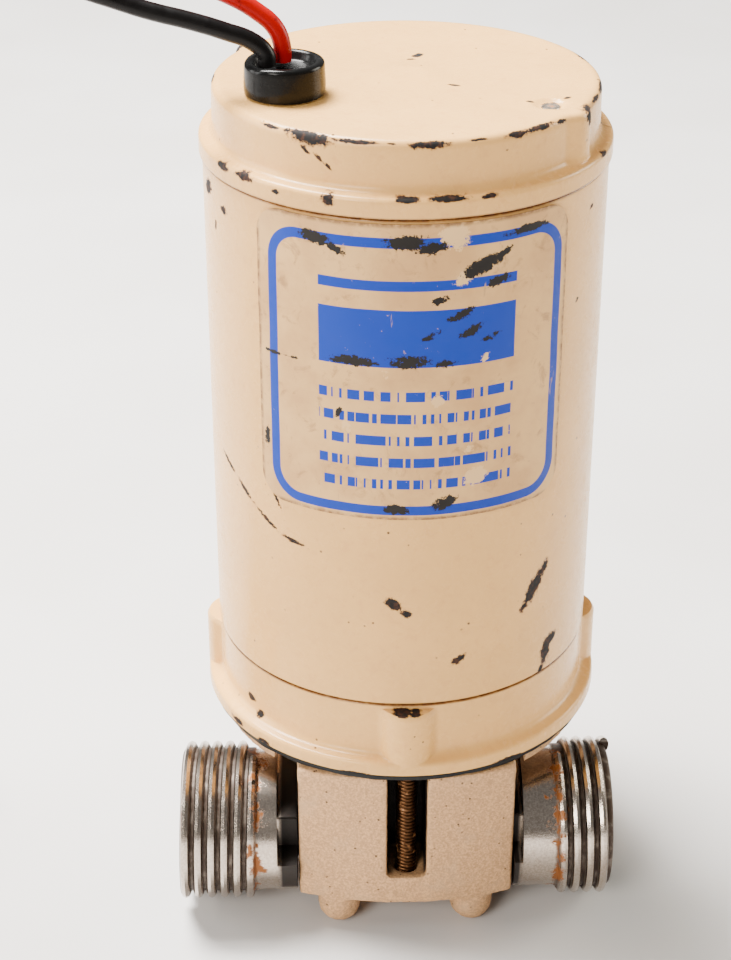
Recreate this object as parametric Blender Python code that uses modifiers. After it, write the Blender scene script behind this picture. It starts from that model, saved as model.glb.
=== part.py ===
"""Twelve-volt bilge pump: a permanent-magnet motor on a flexible-impeller pump head.

The motor axis is vertical.  Every height is measured from the surface that the four
cast feet stand on, and every radius from the motor axis.  Metres, +Z up.
"""

import math

import bmesh
import bpy
from mathutils import Matrix, Vector

# ---------------------------------------------------------------- driving dimensions
COLLECTION_NAME = "bilge_pump"
CUTTER_COLLECTION_NAME = "cutters"

SEAT_GAP = 0.0003            # gap between two faces that touch
RUNNING_GAP = 0.00006        # radial gap between the shaft and its bushes
MERGE = 0.00001              # merge distance of turned profiles
OVERCUT = 0.001              # how far a cutter runs past the face that it opens

ROUND_STEPS = 60             # facets round the motor
SMALL_STEPS = 24             # facets round a port, a bush or the shaft
FINE_STEPS = 12              # facets round a screw or a hole

# pump head
FOOT_RADIUS = 0.0037
FOOT_FLAT_RADIUS = 0.0012     # flat spot under each foot
FOOT_HEIGHT = 0.0064
FOOT_SPREAD = 0.0113         # half the distance between two feet
BODY_HEIGHT = 0.0262
BODY_HALF_WIDTH = 0.01815
BODY_REAR = 0.0250           # rear face behind the axis
FACE_RADIUS = 0.055          # bow of the front face
FACE_FRONT = 0.0322          # middle of the front face ahead of the axis
HEAD_PLATE_RADIUS = 0.0316
HEAD_PLATE_THICKNESS = 0.0026
SLOT_WIDTH = 0.0066
SLOT_FLOOR = 0.0055          # metal left under the slot
SLOT_BACK = 0.023            # back wall of the slot ahead of the axis

CHAMBER_RADIUS = 0.0156
CHAMBER_DEPTH = 0.0133
SEAL_RADIUS = 0.0070
SEAL_HEIGHT = 0.0060
SEAL_FLOOR = 0.0022          # metal between the chamber and the seal
DRIP_RADIUS = 0.0095
CAM_THICKNESS = 0.0020
CAM_HALF_ANGLE = math.radians(34.0)
WEAR_PLATE_THICKNESS = 0.0006
VANE_COUNT = 8
VANE_THICKNESS = 0.0016
VANE_BEAD_RADIUS = 0.0012
IMPELLER_HUB_RADIUS = 0.0056

PORT_OFFSET = 0.0186         # port line ahead of the axis
PORT_HEIGHT = 0.0145
THREAD_RADIUS = 0.013495     # garden-hose thread, 26.99 mm over the crests
THREAD_DEPTH = 0.00125
THREAD_PITCH = 0.002209      # 11.5 turns an inch
LEFT_THREAD_LENGTH = 0.0125
RIGHT_THREAD_LENGTH = 0.0092
NECK_RADIUS = 0.01205
PORT_BORE_RADIUS = 0.0088
SPIGOT_RADIUS = 0.0066
SPIGOT_BORE_RADIUS = 0.0050
SPIGOT_LENGTH = 0.0046
LEFT_PORT_LENGTH = 0.0162    # neck and thread together
RIGHT_PORT_LENGTH = 0.0152
LEFT_NECK_END = 0.0218       # where the left neck's collar starts
RIGHT_NECK_END = 0.0198
PASSAGE_END = 0.0050         # solid septum between the two water ways
PORT_RING_WIRE = 0.0007

COVER_THICKNESS = 0.0030
COVER_GASKET_THICKNESS = 0.0005
COVER_HALF_WIDTH = 0.0177
COVER_FRONT = 0.0222
COVER_REAR = 0.0172
COVER_SCREW_RADIUS = 0.0015
COVER_HEAD_RADIUS = 0.0028
COVER_HEAD_HEIGHT = 0.0018
COVER_SCREW_DEPTH = 0.0062   # engagement in the pump body
COVER_SCREW_PLACES = {
    "cover_screw_front": (0.0, -0.0186),
    "cover_screw_left": (-0.0142, 0.0135),
    "cover_screw_right": (0.0142, 0.0135),
}

HEAD_SCREW_CIRCLE = 0.0284
HEAD_SCREW_RADIUS = 0.00175
HEAD_SCREW_HEAD_RADIUS = 0.0030
HEAD_SCREW_HEAD_HEIGHT = 0.0022
HEAD_SCREW_ENGAGEMENT = 0.0075
HEAD_SCREW_TURNS = {"front": -90.0, "right": 0.0, "rear": 90.0, "left": 180.0}

FLANGE_GASKET_THICKNESS = 0.0010
FLANGE_GASKET_RADIUS = 0.0331
FLANGE_GASKET_BORE = 0.0120

# motor
CAN_RADIUS = 0.0315
CAN_WALL = 0.0020
CAN_LENGTH = 0.0832
BELL_WALL = 0.0022
SPIGOT_DEPTH = 0.0040        # how far each end bell reaches into the can
LOW_BELL_HEIGHT = 0.0124
LOW_BELL_RADIUS = 0.0313
LOW_BELL_FLOOR = 0.0045
FLANGE_RADIUS = 0.0337
FLANGE_THICKNESS = 0.0024
LUG_RADIUS = 0.00485
LUG_CIRCLE = 0.02885
LUG_DROP = 0.0008            # lug tops below the can joint
TOP_BELL_HEIGHT = 0.0110
TOP_BELL_ROOF = 0.0026
TOP_FLANGE_RADIUS = 0.0320
TOP_FLANGE_THICKNESS = 0.0030
HUB_RADIUS = 0.0299
BEARING_BOSS_RADIUS = 0.0076
BEARING_BOSS_RISE = 0.0005
PILASTER_RADIUS = 0.0034
PILASTER_CIRCLE = 0.0276

BUSH_RADIUS = 0.0060
BUSH_LENGTH = 0.0070
BUSH_HOUSING_WALL = 0.0025
SHAFT_RADIUS = 0.0030
SHAFT_COLLAR_RADIUS = 0.0046
WASHER_THICKNESS = 0.0005
WASHER_RADIUS = 0.0056

CORE_RADIUS = 0.0198
CORE_LENGTH = 0.0400
CORE_START = 0.0170          # above the can's lower edge
CORE_SLOTS = 12
WINDING_RADIUS = 0.0172
WINDING_HEIGHT = 0.0085
COMMUTATOR_RADIUS = 0.0105
COMMUTATOR_LENGTH = 0.0120
MAGNET_BORE = 0.0208
MAGNET_LENGTH = 0.0480
MAGNET_HALF_ANGLE = math.radians(62.0)
MAGNET_TURNS = {"magnet_right": 56.0, "magnet_left": 236.0}

THROUGH_BOLT_CIRCLE = 0.0250
THROUGH_BOLT_RADIUS = 0.0019
THROUGH_BOLT_HEAD_RADIUS = 0.0035
THROUGH_BOLT_HEAD_HEIGHT = 0.0024
THROUGH_BOLT_TURNS = {"through_bolt_right": -34.0, "through_bolt_left": 146.0}

CARD_THICKNESS = 0.0016
CARD_BORE = 0.0125
BRUSH_WIDTH = 0.0050
BRUSH_HEIGHT = 0.0044
BRUSH_LENGTH = 0.0092
BRUSH_TRAVEL = 0.0020
HOLDER_WALL = 0.0006
HOLDER_LENGTH = 0.0118
SPRING_RADIUS = 0.0016
SPRING_WIRE = 0.00022
SPRING_LENGTH = 0.0040
SPRING_TURNS = 3

# lead grommet on the top bell
GROMMET_X = -0.0184
GROMMET_Y = -0.0086
GROMMET_RADIUS = 0.00615
GROMMET_HEIGHT = 0.0052
GROMMET_DISH = 0.0014        # depth of the dished top
GROMMET_NECK_RADIUS = 0.0042
GROMMET_FOOT_RADIUS = 0.0056
GROMMET_FOOT_THICKNESS = 0.0012

# rating label wrapped on the front of the can
LABEL_THICKNESS = 0.0002
LABEL_STAND_OFF = 0.00012
LABEL_LOW = 0.0345           # lower edge above the can's lower edge
LABEL_HIGH = 0.0828
LABEL_START = -132.0         # degrees round the axis
LABEL_END = -42.0

# leads: route points chosen by hand, relative to the motor axis
LEAD_DIAMETER = 0.0027
BLACK_ROUTE = [
    (-0.0199, -0.0099, 0.1460), (-0.0202, -0.0099, 0.1480), (-0.0222, -0.0099, 0.1499),
    (-0.0264, -0.0100, 0.1514), (-0.0320, -0.0101, 0.1530), (-0.0380, -0.0102, 0.1546),
    (-0.0440, -0.0102, 0.1566), (-0.0505, -0.0100, 0.1586), (-0.0575, -0.0096, 0.1598),
    (-0.0645, -0.0091, 0.1596), (-0.0705, -0.0086, 0.1583), (-0.0770, -0.0084, 0.1559),
    (-0.0865, -0.0084, 0.1519), (-0.0960, -0.0084, 0.1469), (-0.1040, -0.0084, 0.1380),
    (-0.1092, -0.0084, 0.1250), (-0.1118, -0.0084, 0.1080), (-0.1126, -0.0084, 0.0880),
    (-0.1124, -0.0082, 0.0680), (-0.1112, -0.0078, 0.0490), (-0.1088, -0.0070, 0.0320),
    (-0.1054, -0.0056, 0.0195), (-0.1016, -0.0034, 0.0117), (-0.0982, -0.0006, 0.0081),
]
RED_ROUTE = [
    (-0.0175, -0.0077, 0.1460), (-0.0176, -0.0076, 0.1482), (-0.0188, -0.0073, 0.1510),
    (-0.0219, -0.0069, 0.1534), (-0.0262, -0.0065, 0.1556), (-0.0320, -0.0060, 0.1577),
    (-0.0385, -0.0056, 0.1593), (-0.0450, -0.0053, 0.1603), (-0.0515, -0.0052, 0.1607),
    (-0.0580, -0.0053, 0.1606), (-0.0645, -0.0055, 0.1599), (-0.0706, -0.0056, 0.1583),
    (-0.0770, -0.0056, 0.1559), (-0.0865, -0.0056, 0.1519), (-0.0960, -0.0056, 0.1469),
    (-0.1040, -0.0056, 0.1380), (-0.1092, -0.0056, 0.1250), (-0.1118, -0.0055, 0.1080),
    (-0.1126, -0.0052, 0.0880), (-0.1124, -0.0046, 0.0680), (-0.1112, -0.0036, 0.0490),
    (-0.1088, -0.0020, 0.0320), (-0.1056, 0.0004, 0.0195), (-0.1020, 0.0028, 0.0117),
    (-0.0988, 0.0046, 0.0081),
]
ROUTE_TOP = 0.1414           # top face that the routes are laid for
ROUTE_LOW = 0.0200           # below this a lead stays put when the motor grows
LEAD_POINTS = 60             # points on each lead's tube
SLEEVE_START = (-0.0752, -0.0070, 0.15665)
SLEEVE_END = (-0.0884, -0.0070, 0.15108)
SLEEVE_BORE = 0.0031
SLEEVE_WALL = 0.0005
COIL_X = -0.0965
COIL_Y = -0.0040
COIL_RADIUS = 0.0155         # middle of the turns
COIL_LAYERS = 2
COIL_TURNS_ACROSS = 3
TIE_WIDTH = 0.0030
TIE_THICKNESS = 0.0008
TERMINAL_BARREL_RADIUS = 0.0021
TERMINAL_BARREL_LENGTH = 0.0095
TERMINAL_RING_RADIUS = 0.0036
TERMINAL_HOLE_RADIUS = 0.0019
TERMINAL_TONGUE = 0.0010

# ---------------------------------------------------------------- worked-out heights
BODY_BOTTOM = FOOT_HEIGHT
BODY_TOP = BODY_BOTTOM + BODY_HEIGHT
FLANGE_GASKET_LOW = BODY_TOP + SEAT_GAP
FLANGE_LOW = FLANGE_GASKET_LOW + FLANGE_GASKET_THICKNESS + SEAT_GAP
LOW_BELL_TOP = FLANGE_LOW + LOW_BELL_HEIGHT
CAN_LOW = LOW_BELL_TOP + SEAT_GAP
CAN_HIGH = CAN_LOW + CAN_LENGTH
TOP_BELL_LOW = CAN_HIGH + SEAT_GAP
TOP_FACE = TOP_BELL_LOW + TOP_BELL_HEIGHT
ROOF_LOW = TOP_FACE - TOP_BELL_ROOF
CAN_BORE = CAN_RADIUS - CAN_WALL
BELL_SPIGOT_RADIUS = CAN_BORE - SEAT_GAP
BELL_SPIGOT_BORE = BELL_SPIGOT_RADIUS - BELL_WALL
BUSH_BORE = SHAFT_RADIUS + RUNNING_GAP
BUSH_POCKET = BUSH_RADIUS + SEAT_GAP
BUSH_HOUSING = BUSH_POCKET + BUSH_HOUSING_WALL
TOP_BUSH_HIGH = ROOF_LOW - SEAT_GAP
TOP_BUSH_LOW = TOP_BUSH_HIGH - BUSH_LENGTH
LOW_BUSH_LOW = FLANGE_LOW + BELL_WALL + SEAT_GAP
LOW_BUSH_HIGH = LOW_BUSH_LOW + BUSH_LENGTH
CORE_LOW = CAN_LOW + CORE_START
CORE_HIGH = CORE_LOW + CORE_LENGTH
CARD_HIGH = TOP_BELL_LOW - SPIGOT_DEPTH - SEAT_GAP
CARD_LOW = CARD_HIGH - CARD_THICKNESS
HOLDER_HEIGHT = BRUSH_HEIGHT + 2 * (HOLDER_WALL + SEAT_GAP)
HOLDER_WIDTH = BRUSH_WIDTH + 2 * (HOLDER_WALL + SEAT_GAP)
BRUSH_MIDDLE = CARD_LOW - SEAT_GAP - HOLDER_HEIGHT / 2
CHAMBER_TOP = BODY_BOTTOM + CHAMBER_DEPTH
SEAL_LOW = CHAMBER_TOP + SEAL_FLOOR
COVER_GASKET_LOW = BODY_BOTTOM - SEAT_GAP - COVER_GASKET_THICKNESS
COVER_HIGH = COVER_GASKET_LOW - SEAT_GAP
COVER_LOW = COVER_HIGH - COVER_THICKNESS
LEFT_REACH = LEFT_NECK_END + LEFT_PORT_LENGTH
RIGHT_REACH = RIGHT_NECK_END + RIGHT_PORT_LENGTH
AXIS_X = (LEFT_REACH - RIGHT_REACH) / 2   # centres the whole pump on the origin

# ---------------------------------------------------------------- finishes
FINISHES = {
    # name: (red, green, blue), roughness, metallic
    "cream_enamel": ((0.86, 0.74, 0.56), 0.32, 0.0),
    "cast_alloy": ((0.72, 0.60, 0.48), 0.62, 0.25),
    "plated_brass": ((0.60, 0.56, 0.50), 0.24, 1.0),
    "plated_steel": ((0.42, 0.39, 0.35), 0.38, 1.0),
    "ground_steel": ((0.55, 0.55, 0.54), 0.25, 1.0),
    "core_steel": ((0.22, 0.22, 0.23), 0.50, 0.9),
    "bronze": ((0.55, 0.36, 0.17), 0.45, 1.0),
    "copper": ((0.70, 0.32, 0.16), 0.35, 1.0),
    "ferrite": ((0.05, 0.05, 0.055), 0.75, 0.0),
    "carbon": ((0.03, 0.03, 0.032), 0.60, 0.1),
    "black_rubber": ((0.015, 0.015, 0.016), 0.55, 0.0),
    "black_vinyl": ((0.012, 0.012, 0.013), 0.38, 0.0),
    "red_vinyl": ((0.62, 0.012, 0.01), 0.36, 0.0),
    "fibre_board": ((0.30, 0.17, 0.08), 0.70, 0.0),
    "gasket_paper": ((0.20, 0.18, 0.15), 0.80, 0.0),
    "label_film": ((0.78, 0.70, 0.55), 0.45, 0.0),
    "tinned_copper": ((0.66, 0.64, 0.60), 0.30, 1.0),
}


# ---------------------------------------------------------------- scene helpers
def clear_scene():
    """Remove whatever the file holds."""
    for obj in list(bpy.data.objects):
        bpy.data.objects.remove(obj, do_unlink=True)


def new_collection(name):
    """Make a collection in the scene."""
    collection = bpy.data.collections.new(name)
    bpy.context.scene.collection.children.link(collection)
    return collection


def make_finish(name):
    """Make one Principled material from the table of finishes."""
    colour, roughness, metallic = FINISHES[name]
    material = bpy.data.materials.new(name)
    material.use_nodes = True
    shader = material.node_tree.nodes["Principled BSDF"]
    shader.inputs["Base Color"].default_value = (*colour, 1.0)
    shader.inputs["Roughness"].default_value = roughness
    shader.inputs["Metallic"].default_value = metallic
    material.diffuse_color = (*colour, 1.0)
    return material


class Workshop:
    """The collections, finishes and parent empties that every piece shares."""

    def __init__(self):
        clear_scene()
        self.parts = new_collection(COLLECTION_NAME)
        self.cutters = new_collection(CUTTER_COLLECTION_NAME)
        self.finishes = {name: make_finish(name) for name in FINISHES}
        self.frame = self.empty("motor_frame", (AXIS_X, 0.0, 0.0))
        self.rotor = self.empty("rotor_axis", (AXIS_X, 0.0, 0.0))

    def empty(self, name, place):
        """Add an empty that pieces are parented to."""
        obj = bpy.data.objects.new(name, None)
        obj.location = place
        obj.empty_display_size = 0.02
        self.parts.objects.link(obj)
        return obj

    def piece(self, name, mesh, finish, parent=None, location=(0.0, 0.0, 0.0)):
        """Link a mesh as one named sub-part."""
        obj = bpy.data.objects.new(name, mesh)
        mesh.materials.clear()
        mesh.materials.append(self.finishes[finish])
        obj.parent = parent or self.frame
        obj.location = location
        self.parts.objects.link(obj)
        return obj

    def combine(self, target, mesh, operation, parent=None):
        """Join or cut a target with a mesh, kept as a hidden cutter object."""
        cutter = bpy.data.objects.new(f"{target.name}_{operation.lower()}", mesh)
        cutter.parent = parent or target.parent
        cutter.location = target.location
        cutter.hide_render = True
        cutter.display_type = "WIRE"
        self.cutters.objects.link(cutter)
        modifier = target.modifiers.new(operation.title(), "BOOLEAN")
        modifier.operation = operation
        modifier.solver = "EXACT"
        modifier.object = cutter

    def join(self, target, mesh):
        """Weld a mesh onto a target."""
        self.combine(target, mesh, "UNION")

    def cut(self, target, mesh):
        """Cut a mesh out of a target."""
        self.combine(target, mesh, "DIFFERENCE")


# ---------------------------------------------------------------- mesh helpers
def finish_mesh(bm, name="piece"):
    """Turn a bmesh into a smooth-shaded mesh with sharp edges."""
    bmesh.ops.recalc_face_normals(bm, faces=bm.faces)
    mesh = bpy.data.meshes.new(name)
    bm.to_mesh(mesh)
    bm.free()
    mesh.shade_smooth()
    mesh.set_sharp_from_angle(angle=math.radians(35.0))
    return mesh


def box(low, high):
    """A box between two corners."""
    bm = bmesh.new()
    bmesh.ops.create_cube(bm, size=1.0)
    low, high = Vector(low), Vector(high)
    size = high - low
    bmesh.ops.scale(bm, vec=size, verts=bm.verts)
    bmesh.ops.translate(bm, vec=(low + high) / 2, verts=bm.verts)
    return finish_mesh(bm, "box")


def rod(radius, low, high, centre=(0.0, 0.0), steps=FINE_STEPS, end_radius=None):
    """An upright cylinder, or a cone where end_radius is given."""
    bm = bmesh.new()
    bmesh.ops.create_cone(
        bm, cap_ends=True, segments=steps, radius1=radius,
        radius2=radius if end_radius is None else end_radius, depth=high - low,
    )
    half_step = Matrix.Rotation(math.pi / steps, 3, "Z")
    bmesh.ops.rotate(bm, matrix=half_step, verts=bm.verts)
    bmesh.ops.translate(bm, vec=(centre[0], centre[1], (low + high) / 2), verts=bm.verts)
    return finish_mesh(bm, "rod")


def turned(profile, steps=SMALL_STEPS, centre=(0.0, 0.0)):
    """Turn (radius, height) points about Z: an open profile ends on the axis."""
    on_axis = profile[0][0] == 0.0
    edges = [(i, i + 1) for i in range(len(profile) - 1)]
    if not on_axis:
        edges.append((len(profile) - 1, 0))
    outline = bpy.data.meshes.new("profile")
    outline.from_pydata([(radius, 0.0, height) for radius, height in profile], edges, [])
    lathe = bpy.data.objects.new("lathe", outline)
    bpy.context.scene.collection.objects.link(lathe)
    screw = lathe.modifiers.new("Turn", "SCREW")
    screw.steps = steps
    screw.render_steps = steps
    screw.use_merge_vertices = True
    screw.merge_threshold = MERGE
    graph = bpy.context.evaluated_depsgraph_get()
    solid = bpy.data.meshes.new_from_object(lathe.evaluated_get(graph))
    bpy.data.objects.remove(lathe, do_unlink=True)
    bm = bmesh.new()
    bm.from_mesh(solid)
    bmesh.ops.remove_doubles(bm, verts=bm.verts, dist=MERGE)
    bmesh.ops.translate(bm, vec=(centre[0], centre[1], 0.0), verts=bm.verts)
    return finish_mesh(bm, "turned")


def extruded(outline, low, high):
    """Extrude a flat outline of (x, y) points between two heights."""
    bm = bmesh.new()
    rim = [bm.verts.new((x, y, low)) for x, y in outline]
    floor = bm.faces.new(rim)
    raised = bmesh.ops.extrude_face_region(bm, geom=[floor])
    top = [item for item in raised["geom"] if isinstance(item, bmesh.types.BMVert)]
    bmesh.ops.translate(bm, vec=(0.0, 0.0, high - low), verts=top)
    return finish_mesh(bm, "extruded")


def moved(mesh, matrix):
    """Apply a matrix to a mesh and return it."""
    mesh.transform(matrix)
    return mesh


def along_x(mesh, direction=1.0):
    """Lay an upright mesh along X: its +Z end points to +X, or to -X."""
    return moved(mesh, Matrix.Rotation(direction * math.pi / 2, 4, "Y"))


def arc(radius, start, end, steps, centre=(0.0, 0.0)):
    """Points on an arc between two angles in radians, ends included."""
    return [
        (
            centre[0] + radius * math.cos(start + (end - start) * i / steps),
            centre[1] + radius * math.sin(start + (end - start) * i / steps),
        )
        for i in range(steps + 1)
    ]


def around(radius, degrees):
    """The (x, y) point at a radius and an angle round the axis."""
    angle = math.radians(degrees)
    return radius * math.cos(angle), radius * math.sin(angle)


def ring(inner, outer, low, high, steps=SMALL_STEPS, centre=(0.0, 0.0)):
    """A plain ring, washer or tube."""
    profile = [(inner, high), (outer, high), (outer, low), (inner, low)]
    return turned(profile, steps, centre)


def smooth_points(route, count):
    """Evenly spaced points on a smooth curve through the route's own points."""
    points = [Vector(point) for point in route]
    padded = [points[0] * 2 - points[1], *points, points[-1] * 2 - points[-2]]
    dense = []
    samples = 24
    for i in range(1, len(padded) - 2):
        before, start, end, after = padded[i - 1:i + 3]
        for j in range(samples):
            t = j / samples
            dense.append(0.5 * (
                2 * start + (end - before) * t
                + (2 * before - 5 * start + 4 * end - after) * t ** 2
                + (3 * start - before - 3 * end + after) * t ** 3
            ))
    dense.append(points[-1])
    lengths = [0.0]
    for i in range(1, len(dense)):
        lengths.append(lengths[-1] + (dense[i] - dense[i - 1]).length)
    picked = []
    cursor = 0
    for i in range(count):
        wanted = lengths[-1] * i / (count - 1)
        while cursor < len(dense) - 2 and lengths[cursor + 1] < wanted:
            cursor += 1
        step = lengths[cursor + 1] - lengths[cursor]
        share = (wanted - lengths[cursor]) / step
        picked.append(dense[cursor].lerp(dense[cursor + 1], min(share, 1.0)))
    return picked


def tube(shop, name, points, radius, finish, parent=None, location=(0.0, 0.0, 0.0)):
    """A wire or lead as a poly curve with a round bevel and filled caps."""
    curve = bpy.data.curves.new(name, "CURVE")
    curve.dimensions = "3D"
    spline = curve.splines.new("POLY")
    spline.points.add(len(points) - 1)
    for target, point in zip(spline.points, points):
        target.co = (*point, 1.0)
    curve.bevel_depth = radius
    curve.bevel_resolution = 2
    curve.use_fill_caps = True
    curve.materials.append(shop.finishes[finish])
    obj = bpy.data.objects.new(name, curve)
    obj.parent = parent or shop.frame
    obj.location = location
    shop.parts.objects.link(obj)
    return obj


def screw_mesh(radius, head_radius, head_height, head_low, tip, steps=FINE_STEPS):
    """A pan-head screw that points up: head below, shank above."""
    profile = [
        (0.0, tip),
        (radius * 0.75, tip),
        (radius, tip - radius * 0.5),
        (radius, head_low + head_height),
        (head_radius, head_low + head_height),
        (head_radius, head_low + head_height * 0.35),
        (head_radius * 0.8, head_low),
        (0.0, head_low),
    ]
    return turned(profile, steps)


# ---------------------------------------------------------------- pump head
def face_y(x):
    """The bowed front face at a distance from the middle."""
    centre = FACE_RADIUS - FACE_FRONT
    return centre - math.sqrt(FACE_RADIUS ** 2 - x ** 2)


def face_points(steps=12):
    """The front face's outline from left to right."""
    half = BODY_HALF_WIDTH
    return [(-half + 2 * half * i / steps, face_y(-half + 2 * half * i / steps))
            for i in range(steps + 1)]


def foot_places():
    """The four feet: the front pair flush with the bowed face."""
    front = face_y(FOOT_SPREAD) + FOOT_RADIUS
    rear = BODY_REAR - FOOT_RADIUS
    return [(side * FOOT_SPREAD, y) for y in (front, rear) for side in (-1.0, 1.0)]


def make_pump_body(shop):
    """Cast head: block with a bowed face, round top plate, feet and water ways."""
    notch_back = -(PORT_OFFSET - NECK_RADIUS) + 0.002
    left_edge = math.asin(-LEFT_NECK_END / HEAD_PLATE_RADIUS)
    right_edge = math.asin(RIGHT_NECK_END / HEAD_PLATE_RADIUS)
    front = -math.pi / 2
    rim = arc(HEAD_PLATE_RADIUS, front + right_edge, front + 2 * math.pi + left_edge, 48)
    plate = [
        *face_points(),
        (BODY_HALF_WIDTH, notch_back), (RIGHT_NECK_END, notch_back),
        *rim,
        (-LEFT_NECK_END, notch_back), (-BODY_HALF_WIDTH, notch_back),
    ]
    plate_low = BODY_TOP - HEAD_PLATE_THICKNESS
    body = shop.piece("pump_body", extruded(plate, plate_low, BODY_TOP), "cast_alloy")
    block = [*face_points(), (BODY_HALF_WIDTH, BODY_REAR), (-BODY_HALF_WIDTH, BODY_REAR)]
    shop.join(body, extruded(block, BODY_BOTTOM, plate_low + OVERCUT))
    for place in foot_places():
        dome = [
            (FOOT_RADIUS * math.cos(angle), FOOT_RADIUS * (1 - math.sin(angle)))
            for angle in (math.radians(18.0 * i) for i in range(4))
        ]
        dome = [(0.0, BODY_BOTTOM + 2 * OVERCUT), (FOOT_RADIUS, BODY_BOTTOM + 2 * OVERCUT),
                *dome, (FOOT_FLAT_RADIUS, 0.0), (0.0, 0.0)]
        shop.join(body, turned(dome, 18, place))
    slot_low = BODY_BOTTOM + SLOT_FLOOR
    shop.cut(body, box((-SLOT_WIDTH / 2, -FACE_FRONT - OVERCUT, slot_low),
                       (SLOT_WIDTH / 2, -SLOT_BACK, BODY_TOP + OVERCUT)))
    shop.cut(body, rod(CHAMBER_RADIUS, BODY_BOTTOM - OVERCUT, CHAMBER_TOP, steps=48))
    shop.cut(body, rod(SHAFT_RADIUS + SEAT_GAP, CHAMBER_TOP - OVERCUT, SEAL_LOW + OVERCUT,
                       steps=SMALL_STEPS))
    shop.cut(body, rod(SEAL_RADIUS + SEAT_GAP, SEAL_LOW, BODY_TOP + OVERCUT,
                       steps=SMALL_STEPS))
    shop.cut(body, rod(DRIP_RADIUS, SEAL_LOW + SEAL_HEIGHT + SEAT_GAP, BODY_TOP + OVERCUT,
                       steps=SMALL_STEPS))
    socket_floor = BODY_HALF_WIDTH - SPIGOT_LENGTH - 3 * SEAT_GAP - 2 * PORT_RING_WIRE
    for side in (-1.0, 1.0):
        socket = along_x(rod(SPIGOT_RADIUS + SEAT_GAP, socket_floor,
                             BODY_HALF_WIDTH + OVERCUT, steps=SMALL_STEPS), side)
        passage = along_x(rod(SPIGOT_BORE_RADIUS, PASSAGE_END, BODY_HALF_WIDTH,
                              steps=SMALL_STEPS), side)
        place = Matrix.Translation((0.0, -PORT_OFFSET, PORT_HEIGHT))
        shop.cut(body, moved(socket, place))
        shop.cut(body, moved(passage, place))
        neck_end = LEFT_NECK_END if side < 0 else RIGHT_NECK_END
        relief = along_x(rod(THREAD_RADIUS + SEAT_GAP, neck_end, neck_end + LEFT_PORT_LENGTH,
                             steps=SMALL_STEPS), side)
        shop.cut(body, moved(relief, place))
        window_reach = SPIGOT_BORE_RADIUS - 0.0006
        near, far = PASSAGE_END + 0.0002, CHAMBER_RADIUS - SPIGOT_RADIUS + 0.0018
        low_x, high_x = sorted((side * near, side * far))
        shop.cut(body, box((low_x, -PORT_OFFSET, PORT_HEIGHT - window_reach),
                           (high_x, -PASSAGE_END - 0.004, PORT_HEIGHT + window_reach - 0.001)))
    for name, turn in HEAD_SCREW_TURNS.items():
        place = around(HEAD_SCREW_CIRCLE, turn)
        shop.cut(body, rod(HEAD_SCREW_RADIUS + SEAT_GAP, -OVERCUT, BODY_TOP + OVERCUT, place))
    shop.cut(body, rod(HEAD_SCREW_HEAD_RADIUS + SEAT_GAP, BODY_BOTTOM - OVERCUT,
                       BODY_BOTTOM + HEAD_SCREW_HEAD_HEIGHT + 2 * SEAT_GAP,
                       around(HEAD_SCREW_CIRCLE, HEAD_SCREW_TURNS["front"])))
    for place in COVER_SCREW_PLACES.values():
        shop.cut(body, rod(COVER_SCREW_RADIUS + SEAT_GAP, BODY_BOTTOM - OVERCUT,
                           BODY_BOTTOM + COVER_SCREW_DEPTH + SEAT_GAP, place))
    return body


def thread_profile(start, length):
    """Crests and roots of the hose thread, from the outer end inwards."""
    root = THREAD_RADIUS - THREAD_DEPTH
    crest_count = int(length / THREAD_PITCH)
    margin = (length - crest_count * THREAD_PITCH) / 2
    points = [(root - 0.0006, start + length)]
    for i in reversed(range(crest_count)):
        middle = start + margin + (i + 0.5) * THREAD_PITCH
        points.append((THREAD_RADIUS, middle + THREAD_PITCH * 0.14))
        points.append((THREAD_RADIUS, middle - THREAD_PITCH * 0.14))
        points.append((root, middle - THREAD_PITCH / 2))
    return points


def make_port(shop, name, side, neck_end, length, thread_length):
    """Plated hose nipple that plugs into the side of the head."""
    tip = neck_end + length
    seat = BODY_HALF_WIDTH + SEAT_GAP
    spigot_end = BODY_HALF_WIDTH - SPIGOT_LENGTH
    profile = [
        (PORT_BORE_RADIUS, tip),
        *thread_profile(tip - thread_length, thread_length),
        (NECK_RADIUS, tip - thread_length - 0.0001),
        (NECK_RADIUS, seat),
        (SPIGOT_RADIUS, seat),
        (SPIGOT_RADIUS, spigot_end),
        (SPIGOT_BORE_RADIUS, spigot_end),
        (SPIGOT_BORE_RADIUS, seat + 0.001),
        (PORT_BORE_RADIUS, seat + 0.004),
    ]
    port = along_x(turned(profile), side)
    moved(port, Matrix.Translation((0.0, -PORT_OFFSET, PORT_HEIGHT)))
    obj = shop.piece(name, port, "plated_brass")
    low_x, high_x = sorted((side * (seat - OVERCUT), side * neck_end))
    spigot_top = PORT_HEIGHT + SPIGOT_RADIUS + 0.0006
    reach = NECK_RADIUS + OVERCUT
    shop.cut(obj, box((low_x, -PORT_OFFSET - reach, spigot_top),
                      (high_x, -PORT_OFFSET + reach, PORT_HEIGHT + reach)))
    shop.cut(obj, box((low_x, -PORT_OFFSET - reach, PORT_HEIGHT - 0.0008),
                      (high_x, -PORT_OFFSET - SPIGOT_RADIUS - 0.0006, PORT_HEIGHT + reach)))
    return obj


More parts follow.
